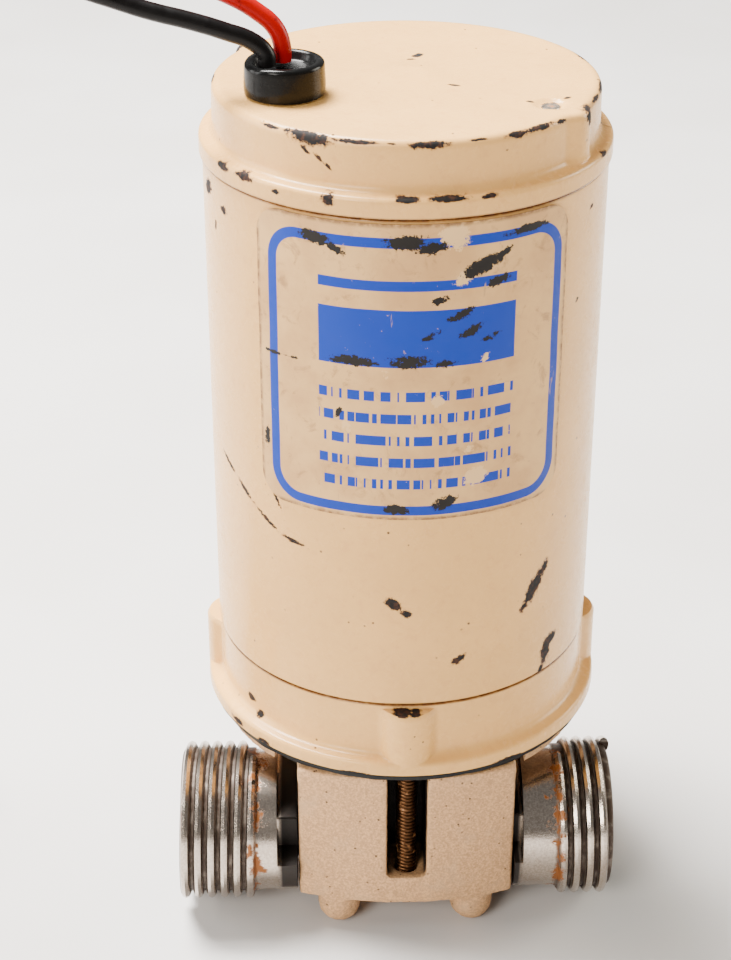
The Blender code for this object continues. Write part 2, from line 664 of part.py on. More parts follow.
def make_port_ring(shop, name, side):
    """O-ring at the foot of a port's socket."""
    high = BODY_HALF_WIDTH - SPIGOT_LENGTH - 2 * SEAT_GAP
    wire = PORT_RING_WIRE
    middle = (SPIGOT_RADIUS + SPIGOT_BORE_RADIUS) / 2
    section = arc(wire, 0.0, -2 * math.pi * 5 / 6, 5, (middle, high - wire))
    mesh = along_x(turned(section, SMALL_STEPS), side)
    moved(mesh, Matrix.Translation((0.0, -PORT_OFFSET, PORT_HEIGHT)))
    return shop.piece(name, mesh, "black_rubber")


def make_cam(shop):
    """Crescent that bends the vanes between the two water ways."""
    outer = CHAMBER_RADIUS - SEAT_GAP
    inner = outer - CAM_THICKNESS
    front = -math.pi / 2
    outline = [
        *arc(outer, front - CAM_HALF_ANGLE, front + CAM_HALF_ANGLE, 12),
        *arc(inner, front + CAM_HALF_ANGLE * 0.8, front - CAM_HALF_ANGLE * 0.8, 12),
    ]
    low = BODY_BOTTOM + SEAT_GAP
    high = CHAMBER_TOP - WEAR_PLATE_THICKNESS - 2 * SEAT_GAP
    return shop.piece("cam", extruded(outline, low, high), "bronze")


def make_impeller(shop):
    """Rubber hub with straight vanes; the tips stop short of the cam."""
    tip = CHAMBER_RADIUS - CAM_THICKNESS - 3 * SEAT_GAP
    high = CHAMBER_TOP - WEAR_PLATE_THICKNESS - 3 * SEAT_GAP
    low = BODY_BOTTOM + 2 * SEAT_GAP
    outline = []
    half_root = math.asin(VANE_THICKNESS / 2 / IMPELLER_HUB_RADIUS)
    bead_middle = tip - VANE_BEAD_RADIUS
    reach = math.sqrt(VANE_BEAD_RADIUS ** 2 - (VANE_THICKNESS / 2) ** 2)
    half_bead = math.atan2(VANE_THICKNESS / 2, -reach)
    for i in range(VANE_COUNT):
        turn = 2 * math.pi * i / VANE_COUNT
        spin = Matrix.Rotation(turn, 2)
        bead = arc(VANE_BEAD_RADIUS, -half_bead, half_bead, 8, (bead_middle, 0.0))
        outline.extend(tuple(spin @ Vector(point)) for point in bead)
        gap = 2 * math.pi / VANE_COUNT
        outline.extend(arc(IMPELLER_HUB_RADIUS, turn + half_root, turn + gap - half_root, 3))
    impeller = shop.piece("impeller", extruded(outline, low, high), "black_rubber", shop.rotor)
    shop.cut(impeller, rod(SHAFT_RADIUS + SEAT_GAP, low - OVERCUT, high + OVERCUT,
                           steps=SMALL_STEPS))
    return impeller


def cover_outline(shrink=0.0):
    """Outline of the cover plate with clipped corners."""
    half = COVER_HALF_WIDTH - shrink
    front, rear = -COVER_FRONT + shrink, COVER_REAR - shrink
    clip = 0.0045
    wide_clip = 0.0085
    return [
        (-half + wide_clip, front), (half - wide_clip, front), (half, front + wide_clip),
        (half, rear - clip), (half - clip, rear), (-half + clip, rear),
        (-half, rear - clip), (-half, front + wide_clip),
    ]


def make_cover(shop):
    """Bottom cover, its paper gasket and its three screws."""
    gasket_high = COVER_GASKET_LOW + COVER_GASKET_THICKNESS
    gasket = shop.piece("cover_gasket",
                        extruded(cover_outline(0.0003), COVER_GASKET_LOW, gasket_high),
                        "gasket_paper")
    shop.cut(gasket, rod(CHAMBER_RADIUS, COVER_GASKET_LOW - OVERCUT, gasket_high + OVERCUT,
                         steps=48))
    cover = shop.piece("pump_cover", extruded(cover_outline(), COVER_LOW, COVER_HIGH),
                       "cast_alloy")
    recess = COVER_LOW + 0.0012
    for name, place in COVER_SCREW_PLACES.items():
        hole = rod(COVER_SCREW_RADIUS + SEAT_GAP, -OVERCUT, BODY_BOTTOM, place)
        shop.cut(gasket, hole)
        shop.cut(cover, hole.copy())
        shop.cut(cover, rod(COVER_HEAD_RADIUS + SEAT_GAP, COVER_LOW - OVERCUT, recess, place))
        head_low = recess - SEAT_GAP - COVER_HEAD_HEIGHT
        mesh = screw_mesh(COVER_SCREW_RADIUS, COVER_HEAD_RADIUS, COVER_HEAD_HEIGHT,
                          head_low, BODY_BOTTOM + COVER_SCREW_DEPTH)
        moved(mesh, Matrix.Translation((place[0], place[1], 0.0)))
        shop.piece(name, mesh, "plated_steel")


def make_head_screws(shop):
    """Four screws that hold the head under the motor's lugs."""
    tip = FLANGE_LOW + HEAD_SCREW_ENGAGEMENT
    for name, turn in HEAD_SCREW_TURNS.items():
        x, y = around(HEAD_SCREW_CIRCLE, turn)
        seat = BODY_TOP - HEAD_PLATE_THICKNESS - SEAT_GAP
        if name == "front":
            seat = BODY_BOTTOM + HEAD_SCREW_HEAD_HEIGHT + SEAT_GAP
        mesh = screw_mesh(HEAD_SCREW_RADIUS, HEAD_SCREW_HEAD_RADIUS, HEAD_SCREW_HEAD_HEIGHT,
                          seat - HEAD_SCREW_HEAD_HEIGHT, tip)
        moved(mesh, Matrix.Translation((x, y, 0.0)))
        shop.piece(f"head_screw_{name}", mesh, "plated_steel")


def make_head_internals(shop):
    """Seal, wear plate and flange gasket."""
    seal_high = SEAL_LOW + SEAL_HEIGHT
    lip = SHAFT_RADIUS + SEAT_GAP
    profile = [
        (lip + 0.0012, seal_high), (SEAL_RADIUS, seal_high), (SEAL_RADIUS, SEAL_LOW + SEAT_GAP),
        (lip + 0.0008, SEAL_LOW + SEAT_GAP), (lip, SEAL_LOW + 0.0018),
    ]
    shop.piece("shaft_seal", turned(profile), "black_rubber")
    plate_high = CHAMBER_TOP - SEAT_GAP
    shop.piece("wear_plate",
               ring(SHAFT_RADIUS + 2 * SEAT_GAP, CHAMBER_RADIUS - 2 * SEAT_GAP,
                    plate_high - WEAR_PLATE_THICKNESS, plate_high, 48), "ground_steel")
    gasket_high = FLANGE_GASKET_LOW + FLANGE_GASKET_THICKNESS
    gasket = shop.piece("flange_gasket",
                        ring(FLANGE_GASKET_BORE, FLANGE_GASKET_RADIUS, FLANGE_GASKET_LOW,
                             gasket_high, ROUND_STEPS), "black_rubber")
    for turn in HEAD_SCREW_TURNS.values():
        shop.cut(gasket, rod(HEAD_SCREW_RADIUS + SEAT_GAP, FLANGE_GASKET_LOW - OVERCUT,
                             gasket_high + OVERCUT, around(HEAD_SCREW_CIRCLE, turn)))


# ---------------------------------------------------------------- motor housing
def make_can(shop):
    """Rolled steel motor tube."""
    shop.piece("motor_can", ring(CAN_BORE, CAN_RADIUS, CAN_LOW, CAN_HIGH, ROUND_STEPS),
               "cream_enamel")


def make_low_bell(shop):
    """Lower end bell: flange, four screw lugs and the lower bush housing."""
    flange_high = FLANGE_LOW + FLANGE_THICKNESS
    floor = FLANGE_LOW + LOW_BELL_FLOOR
    housing_top = LOW_BUSH_HIGH
    profile = [
        (BELL_SPIGOT_BORE, LOW_BELL_TOP + SPIGOT_DEPTH),
        (BELL_SPIGOT_RADIUS, LOW_BELL_TOP + SPIGOT_DEPTH),
        (BELL_SPIGOT_RADIUS, LOW_BELL_TOP),
        (LOW_BELL_RADIUS, LOW_BELL_TOP),
        (LOW_BELL_RADIUS, flange_high + 0.0006),
        (LOW_BELL_RADIUS + 0.0006, flange_high),
        (FLANGE_RADIUS, flange_high - 0.0005),
        (FLANGE_RADIUS, FLANGE_LOW),
        (SHAFT_RADIUS + 2 * SEAT_GAP, FLANGE_LOW),
        (SHAFT_RADIUS + 2 * SEAT_GAP, FLANGE_LOW + BELL_WALL),
        (BUSH_POCKET, FLANGE_LOW + BELL_WALL),
        (BUSH_POCKET, housing_top),
        (BUSH_HOUSING, housing_top),
        (BUSH_HOUSING, floor),
        (BELL_SPIGOT_BORE, floor),
    ]
    bell = shop.piece("bottom_end_bell", turned(profile, ROUND_STEPS), "cream_enamel")
    for turn in HEAD_SCREW_TURNS.values():
        shop.join(bell, rod(LUG_RADIUS, FLANGE_LOW + 0.0004, LOW_BELL_TOP - LUG_DROP,
                            around(LUG_CIRCLE, turn), 24))
    for turn in HEAD_SCREW_TURNS.values():
        shop.cut(bell, rod(HEAD_SCREW_RADIUS + SEAT_GAP, FLANGE_LOW - OVERCUT,
                           FLANGE_LOW + HEAD_SCREW_ENGAGEMENT + 2 * SEAT_GAP,
                           around(HEAD_SCREW_CIRCLE, turn)))
    for turn in THROUGH_BOLT_TURNS.values():
        place = around(THROUGH_BOLT_CIRCLE, turn)
        shop.cut(bell, rod(THROUGH_BOLT_RADIUS + SEAT_GAP, FLANGE_LOW - OVERCUT,
                           floor + OVERCUT, place))
        shop.cut(bell, rod(THROUGH_BOLT_HEAD_RADIUS + SEAT_GAP, FLANGE_LOW - OVERCUT,
                           FLANGE_LOW + THROUGH_BOLT_HEAD_HEIGHT + 2 * SEAT_GAP, place))
    return bell


def make_top_bell(shop):
    """Upper end bell: stepped flange, hub, bolt pilasters and the bearing boss."""
    spigot_low = TOP_BELL_LOW - SPIGOT_DEPTH
    step = TOP_BELL_LOW + TOP_FLANGE_THICKNESS
    profile = [
        (0.0, TOP_FACE + BEARING_BOSS_RISE),
        (BEARING_BOSS_RADIUS - 0.0012, TOP_FACE + BEARING_BOSS_RISE),
        (BEARING_BOSS_RADIUS, TOP_FACE),
        (HUB_RADIUS - 0.0014, TOP_FACE),
        (HUB_RADIUS - 0.0003, TOP_FACE - 0.0005),
        (HUB_RADIUS, TOP_FACE - 0.0014),
        (HUB_RADIUS, step + 0.0010),
        (HUB_RADIUS + 0.0006, step + 0.0003),
        (TOP_FLANGE_RADIUS, step),
        (TOP_FLANGE_RADIUS, TOP_BELL_LOW),
        (BELL_SPIGOT_RADIUS, TOP_BELL_LOW),
        (BELL_SPIGOT_RADIUS, spigot_low),
        (BELL_SPIGOT_BORE, spigot_low),
        (BELL_SPIGOT_BORE, ROOF_LOW),
        (BUSH_HOUSING, ROOF_LOW),
        (BUSH_HOUSING, TOP_BUSH_LOW),
        (BUSH_POCKET, TOP_BUSH_LOW),
        (BUSH_POCKET, ROOF_LOW),
        (0.0, ROOF_LOW),
    ]
    bell = shop.piece("top_end_bell", turned(profile, ROUND_STEPS), "cream_enamel")
    for turn in THROUGH_BOLT_TURNS.values():
        shop.join(bell, rod(PILASTER_RADIUS, TOP_BELL_LOW + 0.0012, TOP_FACE - 0.0006,
                            around(PILASTER_CIRCLE, turn), 24))
    for turn in THROUGH_BOLT_TURNS.values():
        shop.cut(bell, rod(THROUGH_BOLT_RADIUS + SEAT_GAP, TOP_BELL_LOW - SPIGOT_DEPTH - OVERCUT,
                           TOP_FACE + OVERCUT, around(THROUGH_BOLT_CIRCLE, turn)))
    shop.cut(bell, rod(GROMMET_NECK_RADIUS + SEAT_GAP, ROOF_LOW - OVERCUT, TOP_FACE + OVERCUT,
                       (GROMMET_X, GROMMET_Y), 24))
    return bell


def make_through_bolts(shop):
    """Two long bolts that clamp the end bells on the can."""
    head_low = FLANGE_LOW + SEAT_GAP
    for name, turn in THROUGH_BOLT_TURNS.items():
        x, y = around(THROUGH_BOLT_CIRCLE, turn)
        mesh = screw_mesh(THROUGH_BOLT_RADIUS, THROUGH_BOLT_HEAD_RADIUS,
                          THROUGH_BOLT_HEAD_HEIGHT, head_low, TOP_FACE - 0.0004)
        moved(mesh, Matrix.Translation((x, y, 0.0)))
        shop.piece(name, mesh, "plated_steel")


def make_magnets(shop):
    """Two ferrite arcs bonded inside the can."""
    outer = CAN_BORE - SEAT_GAP
    low = CORE_LOW - (MAGNET_LENGTH - CORE_LENGTH) / 2
    for name, turn in MAGNET_TURNS.items():
        middle = math.radians(turn)
        start, end = middle - MAGNET_HALF_ANGLE, middle + MAGNET_HALF_ANGLE
        outline = [*arc(outer, start, end, 20), *arc(MAGNET_BORE, end, start, 20)]
        shop.piece(name, extruded(outline, low, low + MAGNET_LENGTH), "ferrite")


def make_bushes(shop):
    """Sintered bushes in the two bells."""
    shop.piece("top_bush", ring(BUSH_BORE, BUSH_RADIUS, TOP_BUSH_LOW, TOP_BUSH_HIGH), "bronze")
    shop.piece("bottom_bush", ring(BUSH_BORE, BUSH_RADIUS, LOW_BUSH_LOW, LOW_BUSH_HIGH),
               "bronze")


def make_brush_gear(shop):
    """Brush card with two holders, each with a brush and a spring."""
    card = shop.piece("brush_card", ring(CARD_BORE, BELL_SPIGOT_RADIUS, CARD_LOW, CARD_HIGH,
                                         ROUND_STEPS), "fibre_board")
    for turn in THROUGH_BOLT_TURNS.values():
        shop.cut(card, rod(THROUGH_BOLT_RADIUS + SEAT_GAP, CARD_LOW - OVERCUT,
                           CARD_HIGH + OVERCUT, around(THROUGH_BOLT_CIRCLE, turn)))
    start = COMMUTATOR_RADIUS + 5 * SEAT_GAP
    for name, side in (("left", -1.0), ("right", 1.0)):
        low_x, high_x = sorted((side * start, side * (start + HOLDER_LENGTH)))
        half_y, half_z = HOLDER_WIDTH / 2, HOLDER_HEIGHT / 2
        holder = shop.piece(f"brush_holder_{name}",
                            box((low_x, -half_y, BRUSH_MIDDLE - half_z),
                                (high_x, half_y, BRUSH_MIDDLE + half_z)), "bronze")
        open_y, open_z = half_y - HOLDER_WALL, half_z - HOLDER_WALL
        shop.cut(holder, box((low_x - OVERCUT, -open_y, BRUSH_MIDDLE - open_z),
                             (high_x + OVERCUT, open_y, BRUSH_MIDDLE + open_z)))
        face = COMMUTATOR_RADIUS + SEAT_GAP
        axis = shop.empty(f"brush_{name}_axis", (AXIS_X + side * face, 0.0, BRUSH_MIDDLE))
        low_x, high_x = sorted((0.0, side * BRUSH_LENGTH))
        shop.piece(f"brush_{name}", box((low_x, -BRUSH_WIDTH / 2, -BRUSH_HEIGHT / 2),
                                        (high_x, BRUSH_WIDTH / 2, BRUSH_HEIGHT / 2)),
                   "carbon", axis)
        inner = BRUSH_LENGTH + SEAT_GAP + SPRING_WIRE
        count = SPRING_TURNS * 8
        helix = [
            (side * (inner + SPRING_LENGTH * i / count),
             SPRING_RADIUS * math.cos(2 * math.pi * i / 8),
             SPRING_RADIUS * math.sin(2 * math.pi * i / 8))
            for i in range(count + 1)
        ]
        tube(shop, f"brush_spring_{name}", helix, SPRING_WIRE, "ground_steel", axis)


def make_grommet(shop):
    """Rubber grommet with a dished top, seated in the top bell's roof."""
    low = TOP_FACE + SEAT_GAP
    high = low + GROMMET_HEIGHT
    foot_high = ROOF_LOW - SEAT_GAP
    dish = high - GROMMET_DISH
    profile = [
        (0.0, dish), (GROMMET_RADIUS * 0.64, dish), (GROMMET_RADIUS * 0.80, high - 0.0001),
        (GROMMET_RADIUS * 0.88, high - 0.0001), (GROMMET_RADIUS * 0.97, high - 0.0010),
        (GROMMET_RADIUS, high - 0.0018), (GROMMET_RADIUS, low),
        (GROMMET_NECK_RADIUS, low), (GROMMET_NECK_RADIUS, foot_high),
        (GROMMET_FOOT_RADIUS, foot_high),
        (GROMMET_FOOT_RADIUS, foot_high - GROMMET_FOOT_THICKNESS),
        (0.0, foot_high - GROMMET_FOOT_THICKNESS),
    ]
    shop.piece("lead_grommet", turned(profile, 24, (GROMMET_X, GROMMET_Y)), "black_rubber")


def make_label(shop):
    """Thin rating label wrapped round the front of the can."""
    inner = CAN_RADIUS + LABEL_STAND_OFF
    outer = inner + LABEL_THICKNESS
    start, end = math.radians(LABEL_START), math.radians(LABEL_END)
    steps = round((LABEL_END - LABEL_START) / (360.0 / ROUND_STEPS))
    outline = [*arc(outer, start, end, steps), *arc(inner, end, start, steps)]
    mesh = extruded(outline, CAN_LOW + LABEL_LOW, CAN_LOW + LABEL_HIGH)
    shop.piece("rating_label", mesh, "label_film")


# ---------------------------------------------------------------- rotor
def core_outline():
    """Slotted lamination outline."""
    neck = 0.0011            # half width of a slot's mouth
    depth = 0.0075
    points = []
    pitch = 2 * math.pi / CORE_SLOTS
    half = math.asin(neck / CORE_RADIUS)
    for i in range(CORE_SLOTS):
        turn = pitch * i
        spin = Matrix.Rotation(turn, 2)
        slot = [
            (CORE_RADIUS * math.cos(half), -neck), (CORE_RADIUS - 0.0010, -neck),
            (CORE_RADIUS - 0.0018, -0.0026), (CORE_RADIUS - depth, -0.0014),
            (CORE_RADIUS - depth, 0.0014), (CORE_RADIUS - 0.0018, 0.0026),
            (CORE_RADIUS - 0.0010, neck), (CORE_RADIUS * math.cos(half), neck),
        ]
        points.extend(tuple(spin @ Vector(point)) for point in slot)
        points.extend(arc(CORE_RADIUS, turn + half, turn + pitch - half, 4)[1:-1])
    return points


def make_rotor(shop):
    """Shaft, armature, windings, commutator, washers and slinger."""
    collar_low = LOW_BUSH_HIGH + WASHER_THICKNESS + 2 * SEAT_GAP
    shaft_low = BODY_BOTTOM + 2 * SEAT_GAP
    shaft = [
        (0.0, TOP_BUSH_HIGH - SEAT_GAP), (SHAFT_RADIUS - 0.0004, TOP_BUSH_HIGH - SEAT_GAP),
        (SHAFT_RADIUS, TOP_BUSH_HIGH - SEAT_GAP - 0.0004),
        (SHAFT_RADIUS, collar_low + 0.003), (SHAFT_COLLAR_RADIUS, collar_low + 0.003),
        (SHAFT_COLLAR_RADIUS, collar_low), (SHAFT_RADIUS, collar_low),
        (SHAFT_RADIUS, shaft_low + 0.0004), (SHAFT_RADIUS - 0.0004, shaft_low),
        (0.0, shaft_low),
    ]
    shop.piece("rotor_shaft", turned(shaft), "ground_steel", shop.rotor)
    core = shop.piece("armature_core", extruded(core_outline(), CORE_LOW, CORE_HIGH),
                      "core_steel", shop.rotor)
    shop.cut(core, rod(SHAFT_RADIUS + SEAT_GAP, CORE_LOW - OVERCUT, CORE_HIGH + OVERCUT,
                       steps=SMALL_STEPS))
    inner = SHAFT_RADIUS + 0.0030
    for name, low, sign in (("winding_top", CORE_HIGH + SEAT_GAP, 1.0),
                            ("winding_bottom", CORE_LOW - SEAT_GAP, -1.0)):
        near, far = low, low + sign * WINDING_HEIGHT
        shoulder = far - sign * 0.003
        profile = [(inner, far), (WINDING_RADIUS - 0.003, far), (WINDING_RADIUS, shoulder),
                   (WINDING_RADIUS, near), (inner, near)]
        if sign < 0:
            profile.reverse()
        shop.piece(name, turned(profile), "copper", shop.rotor)
    washer_high = TOP_BUSH_LOW - SEAT_GAP
    washer_low = washer_high - WASHER_THICKNESS
    hub_high = washer_low - SEAT_GAP
    comm_high = CARD_LOW + 0.0004
    comm_low = comm_high - COMMUTATOR_LENGTH
    bore = SHAFT_RADIUS + SEAT_GAP
    profile = [
        (bore, hub_high), (WASHER_RADIUS, hub_high), (WASHER_RADIUS, comm_high),
        (COMMUTATOR_RADIUS, comm_high), (COMMUTATOR_RADIUS, comm_low + 0.0016),
        (COMMUTATOR_RADIUS + 0.0012, comm_low + 0.0012), (COMMUTATOR_RADIUS + 0.0012, comm_low),
        (bore, comm_low),
    ]
    shop.piece("commutator", turned(profile), "copper", shop.rotor)
    shop.piece("top_thrust_washer", ring(bore, WASHER_RADIUS, washer_low, washer_high),
               "fibre_board", shop.rotor)
    low = LOW_BUSH_HIGH + SEAT_GAP
    shop.piece("bottom_thrust_washer", ring(bore, WASHER_RADIUS, low, low + WASHER_THICKNESS),
               "fibre_board", shop.rotor)
    slinger_low = SEAL_LOW + SEAL_HEIGHT + 0.0008
    slinger = [
        (bore, slinger_low + 0.0026), (SHAFT_RADIUS + 0.0016, slinger_low + 0.0026),
        (SHAFT_RADIUS + 0.0020, slinger_low + 0.0012), (DRIP_RADIUS - 0.0012, slinger_low + 0.0009),
        (DRIP_RADIUS - 0.0012, slinger_low), (bore, slinger_low),
    ]
    shop.piece("water_slinger", turned(slinger), "black_rubber", shop.rotor)


# ---------------------------------------------------------------- leads
def lifted(point):
    """A route point raised with the motor's top face; the coil stays on the floor."""
    share = (point[2] - ROUTE_LOW) / (ROUTE_TOP - ROUTE_LOW)
    rise = (TOP_FACE - ROUTE_TOP) * min(max(share, 0.0), 1.0)
    return (point[0], point[1], point[2] + rise)


def make_leads(shop):
    """Two free leads, the sleeve round them, their coil, its tie and the terminals."""
    radius = LEAD_DIAMETER / 2
    for name, route, finish in (("black_lead", BLACK_ROUTE, "black_vinyl"),
                                ("red_lead", RED_ROUTE, "red_vinyl")):
        points = smooth_points([lifted(point) for point in route], LEAD_POINTS)
        tube(shop, name, points, radius, finish)
    start, end = Vector(lifted(SLEEVE_START)), Vector(lifted(SLEEVE_END))
    mesh = ring(SLEEVE_BORE, SLEEVE_BORE + SLEEVE_WALL, 0.0, (end - start).length, 24)
    turn = (end - start).to_track_quat("Z", "Y").to_matrix().to_4x4()
    moved(mesh, Matrix.Translation(start) @ turn)
    shop.piece("lead_sleeve", mesh, "black_vinyl")
    half_width = COIL_TURNS_ACROSS * LEAD_DIAMETER / 2
    height = COIL_LAYERS * LEAD_DIAMETER + SEAT_GAP
    inner, outer = COIL_RADIUS - half_width, COIL_RADIUS + half_width
    soft = LEAD_DIAMETER * 0.3
    profile = [
        (inner, height - soft), (inner + soft, height), (outer - soft, height),
        (outer, height - soft), (outer, soft), (outer - soft, 0.0), (inner + soft, 0.0),
        (inner, soft),
    ]
    shop.piece("lead_coil", turned(profile, 40, (COIL_X, COIL_Y)), "black_vinyl")
    make_coil_tie(shop, inner, outer, height)
    make_terminal(shop, "red_terminal", "red_vinyl",
                  (COIL_X - 0.0045, COIL_Y - outer - TERMINAL_BARREL_RADIUS - SEAT_GAP), 180.0)
    make_terminal(shop, "black_terminal", "black_vinyl",
                  (COIL_X - outer - TERMINAL_BARREL_RADIUS - SEAT_GAP, COIL_Y + 0.0045), 90.0)


def make_coil_tie(shop, inner, outer, height):
    """Flat tie bent over the coil's far side, open underneath."""
    half = TIE_WIDTH / 2
    gap, wall = SEAT_GAP, TIE_THICKNESS
    outline = [
        (inner - gap - wall, 0.0), (inner - gap - wall, height + gap + wall),
        (outer + gap + wall, height + gap + wall), (outer + gap + wall, 0.0),
        (outer + gap, 0.0), (outer + gap, height + gap), (inner - gap, height + gap),
        (inner - gap, 0.0),
    ]
    mesh = extruded(outline, -half, half)
    stand = Matrix.Rotation(math.pi / 2, 4, "X")
    turn = Matrix.Rotation(math.radians(60.0), 4, "Z")
    moved(mesh, Matrix.Translation((COIL_X, COIL_Y, 0.0)) @ turn @ stand)
    shop.piece("coil_tie", mesh, "black_vinyl")


def make_terminal(shop, name, finish, place, heading):
    """Insulated ring terminal lying on the floor beside the coil."""
    barrel = along_x(rod(TERMINAL_BARREL_RADIUS, 0.0, TERMINAL_BARREL_LENGTH, steps=20))
    turn = Matrix.Rotation(math.radians(heading), 4, "Z")
    lift = Matrix.Translation((place[0], place[1], TERMINAL_BARREL_RADIUS))
    terminal = shop.piece(name, moved(barrel, lift @ turn), finish)
    middle = TERMINAL_BARREL_LENGTH + 0.0020 + TERMINAL_RING_RADIUS
    neck = box((TERMINAL_BARREL_LENGTH - 0.001, -0.0013, -TERMINAL_TONGUE / 2),
               (middle, 0.0013, TERMINAL_TONGUE / 2))
    eye = rod(TERMINAL_RING_RADIUS, -TERMINAL_TONGUE / 2 - 0.00005,
              TERMINAL_TONGUE / 2 + 0.00005, (middle, 0.0), 24)
    hole = rod(TERMINAL_HOLE_RADIUS, -TERMINAL_TONGUE, TERMINAL_TONGUE, (middle, 0.0), 24)
    shop.join(terminal, moved(neck, lift @ turn))
    shop.join(terminal, moved(eye, lift @ turn))
    shop.cut(terminal, moved(hole, lift @ turn))


def main():
    """Build every sub-part of the pump."""
    shop = Workshop()
    make_pump_body(shop)
    make_port(shop, "left_port", -1.0, LEFT_NECK_END, LEFT_PORT_LENGTH, LEFT_THREAD_LENGTH)
    make_port(shop, "right_port", 1.0, RIGHT_NECK_END, RIGHT_PORT_LENGTH, RIGHT_THREAD_LENGTH)
    make_port_ring(shop, "left_port_ring", -1.0)
    make_port_ring(shop, "right_port_ring", 1.0)
    make_head_internals(shop)
    make_cam(shop)
    make_impeller(shop)
    make_cover(shop)
    make_head_screws(shop)
    make_low_bell(shop)
    make_can(shop)
    make_top_bell(shop)
    make_through_bolts(shop)
    make_magnets(shop)
    make_bushes(shop)
    make_brush_gear(shop)
    make_grommet(shop)
    make_label(shop)
    make_rotor(shop)
    make_leads(shop)


main()
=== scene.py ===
"""Bilge pump: the finished pieces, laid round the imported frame.

Metres, +Z up, the motor axis upright.  Each operator makes one piece or one group of
like pieces; main() calls them in order.
"""

import math
import random
from functools import partialmethod

import bmesh
import bpy
from bpy.props import FloatProperty, FloatVectorProperty, IntProperty, PointerProperty
from mathutils import Matrix, Vector, noise


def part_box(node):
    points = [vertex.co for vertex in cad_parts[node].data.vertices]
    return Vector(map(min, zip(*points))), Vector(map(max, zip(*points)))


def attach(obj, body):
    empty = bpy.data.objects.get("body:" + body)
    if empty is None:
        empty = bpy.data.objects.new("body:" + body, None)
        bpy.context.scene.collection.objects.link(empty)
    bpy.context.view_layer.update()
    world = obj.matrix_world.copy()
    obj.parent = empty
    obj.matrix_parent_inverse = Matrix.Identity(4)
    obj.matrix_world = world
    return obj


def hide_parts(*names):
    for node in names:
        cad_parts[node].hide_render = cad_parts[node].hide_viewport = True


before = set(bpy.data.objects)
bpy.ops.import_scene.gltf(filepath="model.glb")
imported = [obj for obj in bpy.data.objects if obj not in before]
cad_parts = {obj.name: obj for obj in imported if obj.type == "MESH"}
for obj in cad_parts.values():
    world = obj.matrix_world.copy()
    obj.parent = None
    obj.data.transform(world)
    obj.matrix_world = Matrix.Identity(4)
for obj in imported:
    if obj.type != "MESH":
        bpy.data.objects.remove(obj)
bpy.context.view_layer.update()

bl_info = {"name": "Bilge pump pieces", "version": (1, 0, 0), "blender": (4, 5, 0),
    "location": "3D View > Sidebar > Bilge pump",
    "description": "Makes the enamelled motor, cast head, ports, label and leads", "category": "Add Mesh"}

MM = 0.001
SMOOTH_ANGLE = math.radians(38.0)
BODY = "pump"


def middle(node):
    """The centre of a frame node's box."""
    low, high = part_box(node)
    return (low + high) / 2


def linked(name, data):
    """A new object in the scene."""
    obj = bpy.data.objects.new(name, data)
    bpy.context.scene.collection.objects.link(obj)
    return obj


CAN_LOW_CORNER, CAN_HIGH_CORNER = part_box("motor_can")
AXIS_X = middle("motor_can").x
CAN_RADIUS = (CAN_HIGH_CORNER.y - CAN_LOW_CORNER.y) / 2
CAN_LOW = CAN_LOW_CORNER.z
CAN_HIGH = CAN_HIGH_CORNER.z
TOP_BELL_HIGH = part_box("top_end_bell")[1].z
TOP_FACE = TOP_BELL_HIGH - 0.5 * MM
FLANGE_LOW, FLANGE_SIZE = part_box("bottom_end_bell")[0].z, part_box("bottom_end_bell")[1].y
PORT_Y = middle("left_port").y
PORT_Z = middle("left_port").z


# ------------------------------------------------------------------ settings
class PumpSizes(bpy.types.PropertyGroup):
    """Sizes that a user would change."""

    round_steps: IntProperty(name="Round steps", description="Facets round the motor", default=420,
        min=24)
    thread_pitch: FloatProperty(name="Thread pitch", description="Advance of the hose thread in one turn",
        default=2.209 * MM, unit="LENGTH", precision=5)
    thread_depth: FloatProperty(name="Thread depth",
        description="Height of the hose thread's crest over its root", default=1.25 * MM, unit="LENGTH",
        precision=5)
    label_corner: FloatProperty(name="Label corner", description="Corner radius of the rating label",
        default=4.5 * MM, unit="LENGTH", precision=5)
    lead_diameter: FloatProperty(name="Lead diameter", description="Outside diameter of each lead",
        default=2.7 * MM, unit="LENGTH", precision=5)
    lead_length: FloatProperty(name="Lead length", description="Real length of each lead", default=0.5,
        unit="LENGTH")


class PumpColours(bpy.types.PropertyGroup):
    """Colours that a user would change."""

    enamel: FloatVectorProperty(name="Enamel", description="Cream enamel on the motor", subtype="COLOR",
        size=3, default=(0.66, 0.365, 0.115), min=0.0, max=1.0)
    casting: FloatVectorProperty(name="Casting", description="Bare cast alloy of the pump head",
        subtype="COLOR", size=3, default=(0.64, 0.37, 0.18), min=0.0, max=1.0)
    print_blue: FloatVectorProperty(name="Label blue", description="Blue of the rating label's print",
        subtype="COLOR", size=3, default=(0.0, 0.028, 0.30), min=0.0, max=1.0)
    lead_red: FloatVectorProperty(name="Lead red", description="Red of the positive lead",
        subtype="COLOR", size=3, default=(0.30, 0.0, 0.0), min=0.0, max=1.0)


class PumpStage(bpy.types.PropertyGroup):
    """Light and floor."""

    key_power: FloatProperty(name="Key light",
        description="Power of the large soft light above on the left", default=62.0, unit="POWER")
    fill_power: FloatProperty(name="Fill light", description="Power of the soft light in front",
        default=10.0, unit="POWER")
    sky_strength: FloatProperty(name="Sky strength", description="Even light from all round",
        default=0.25)


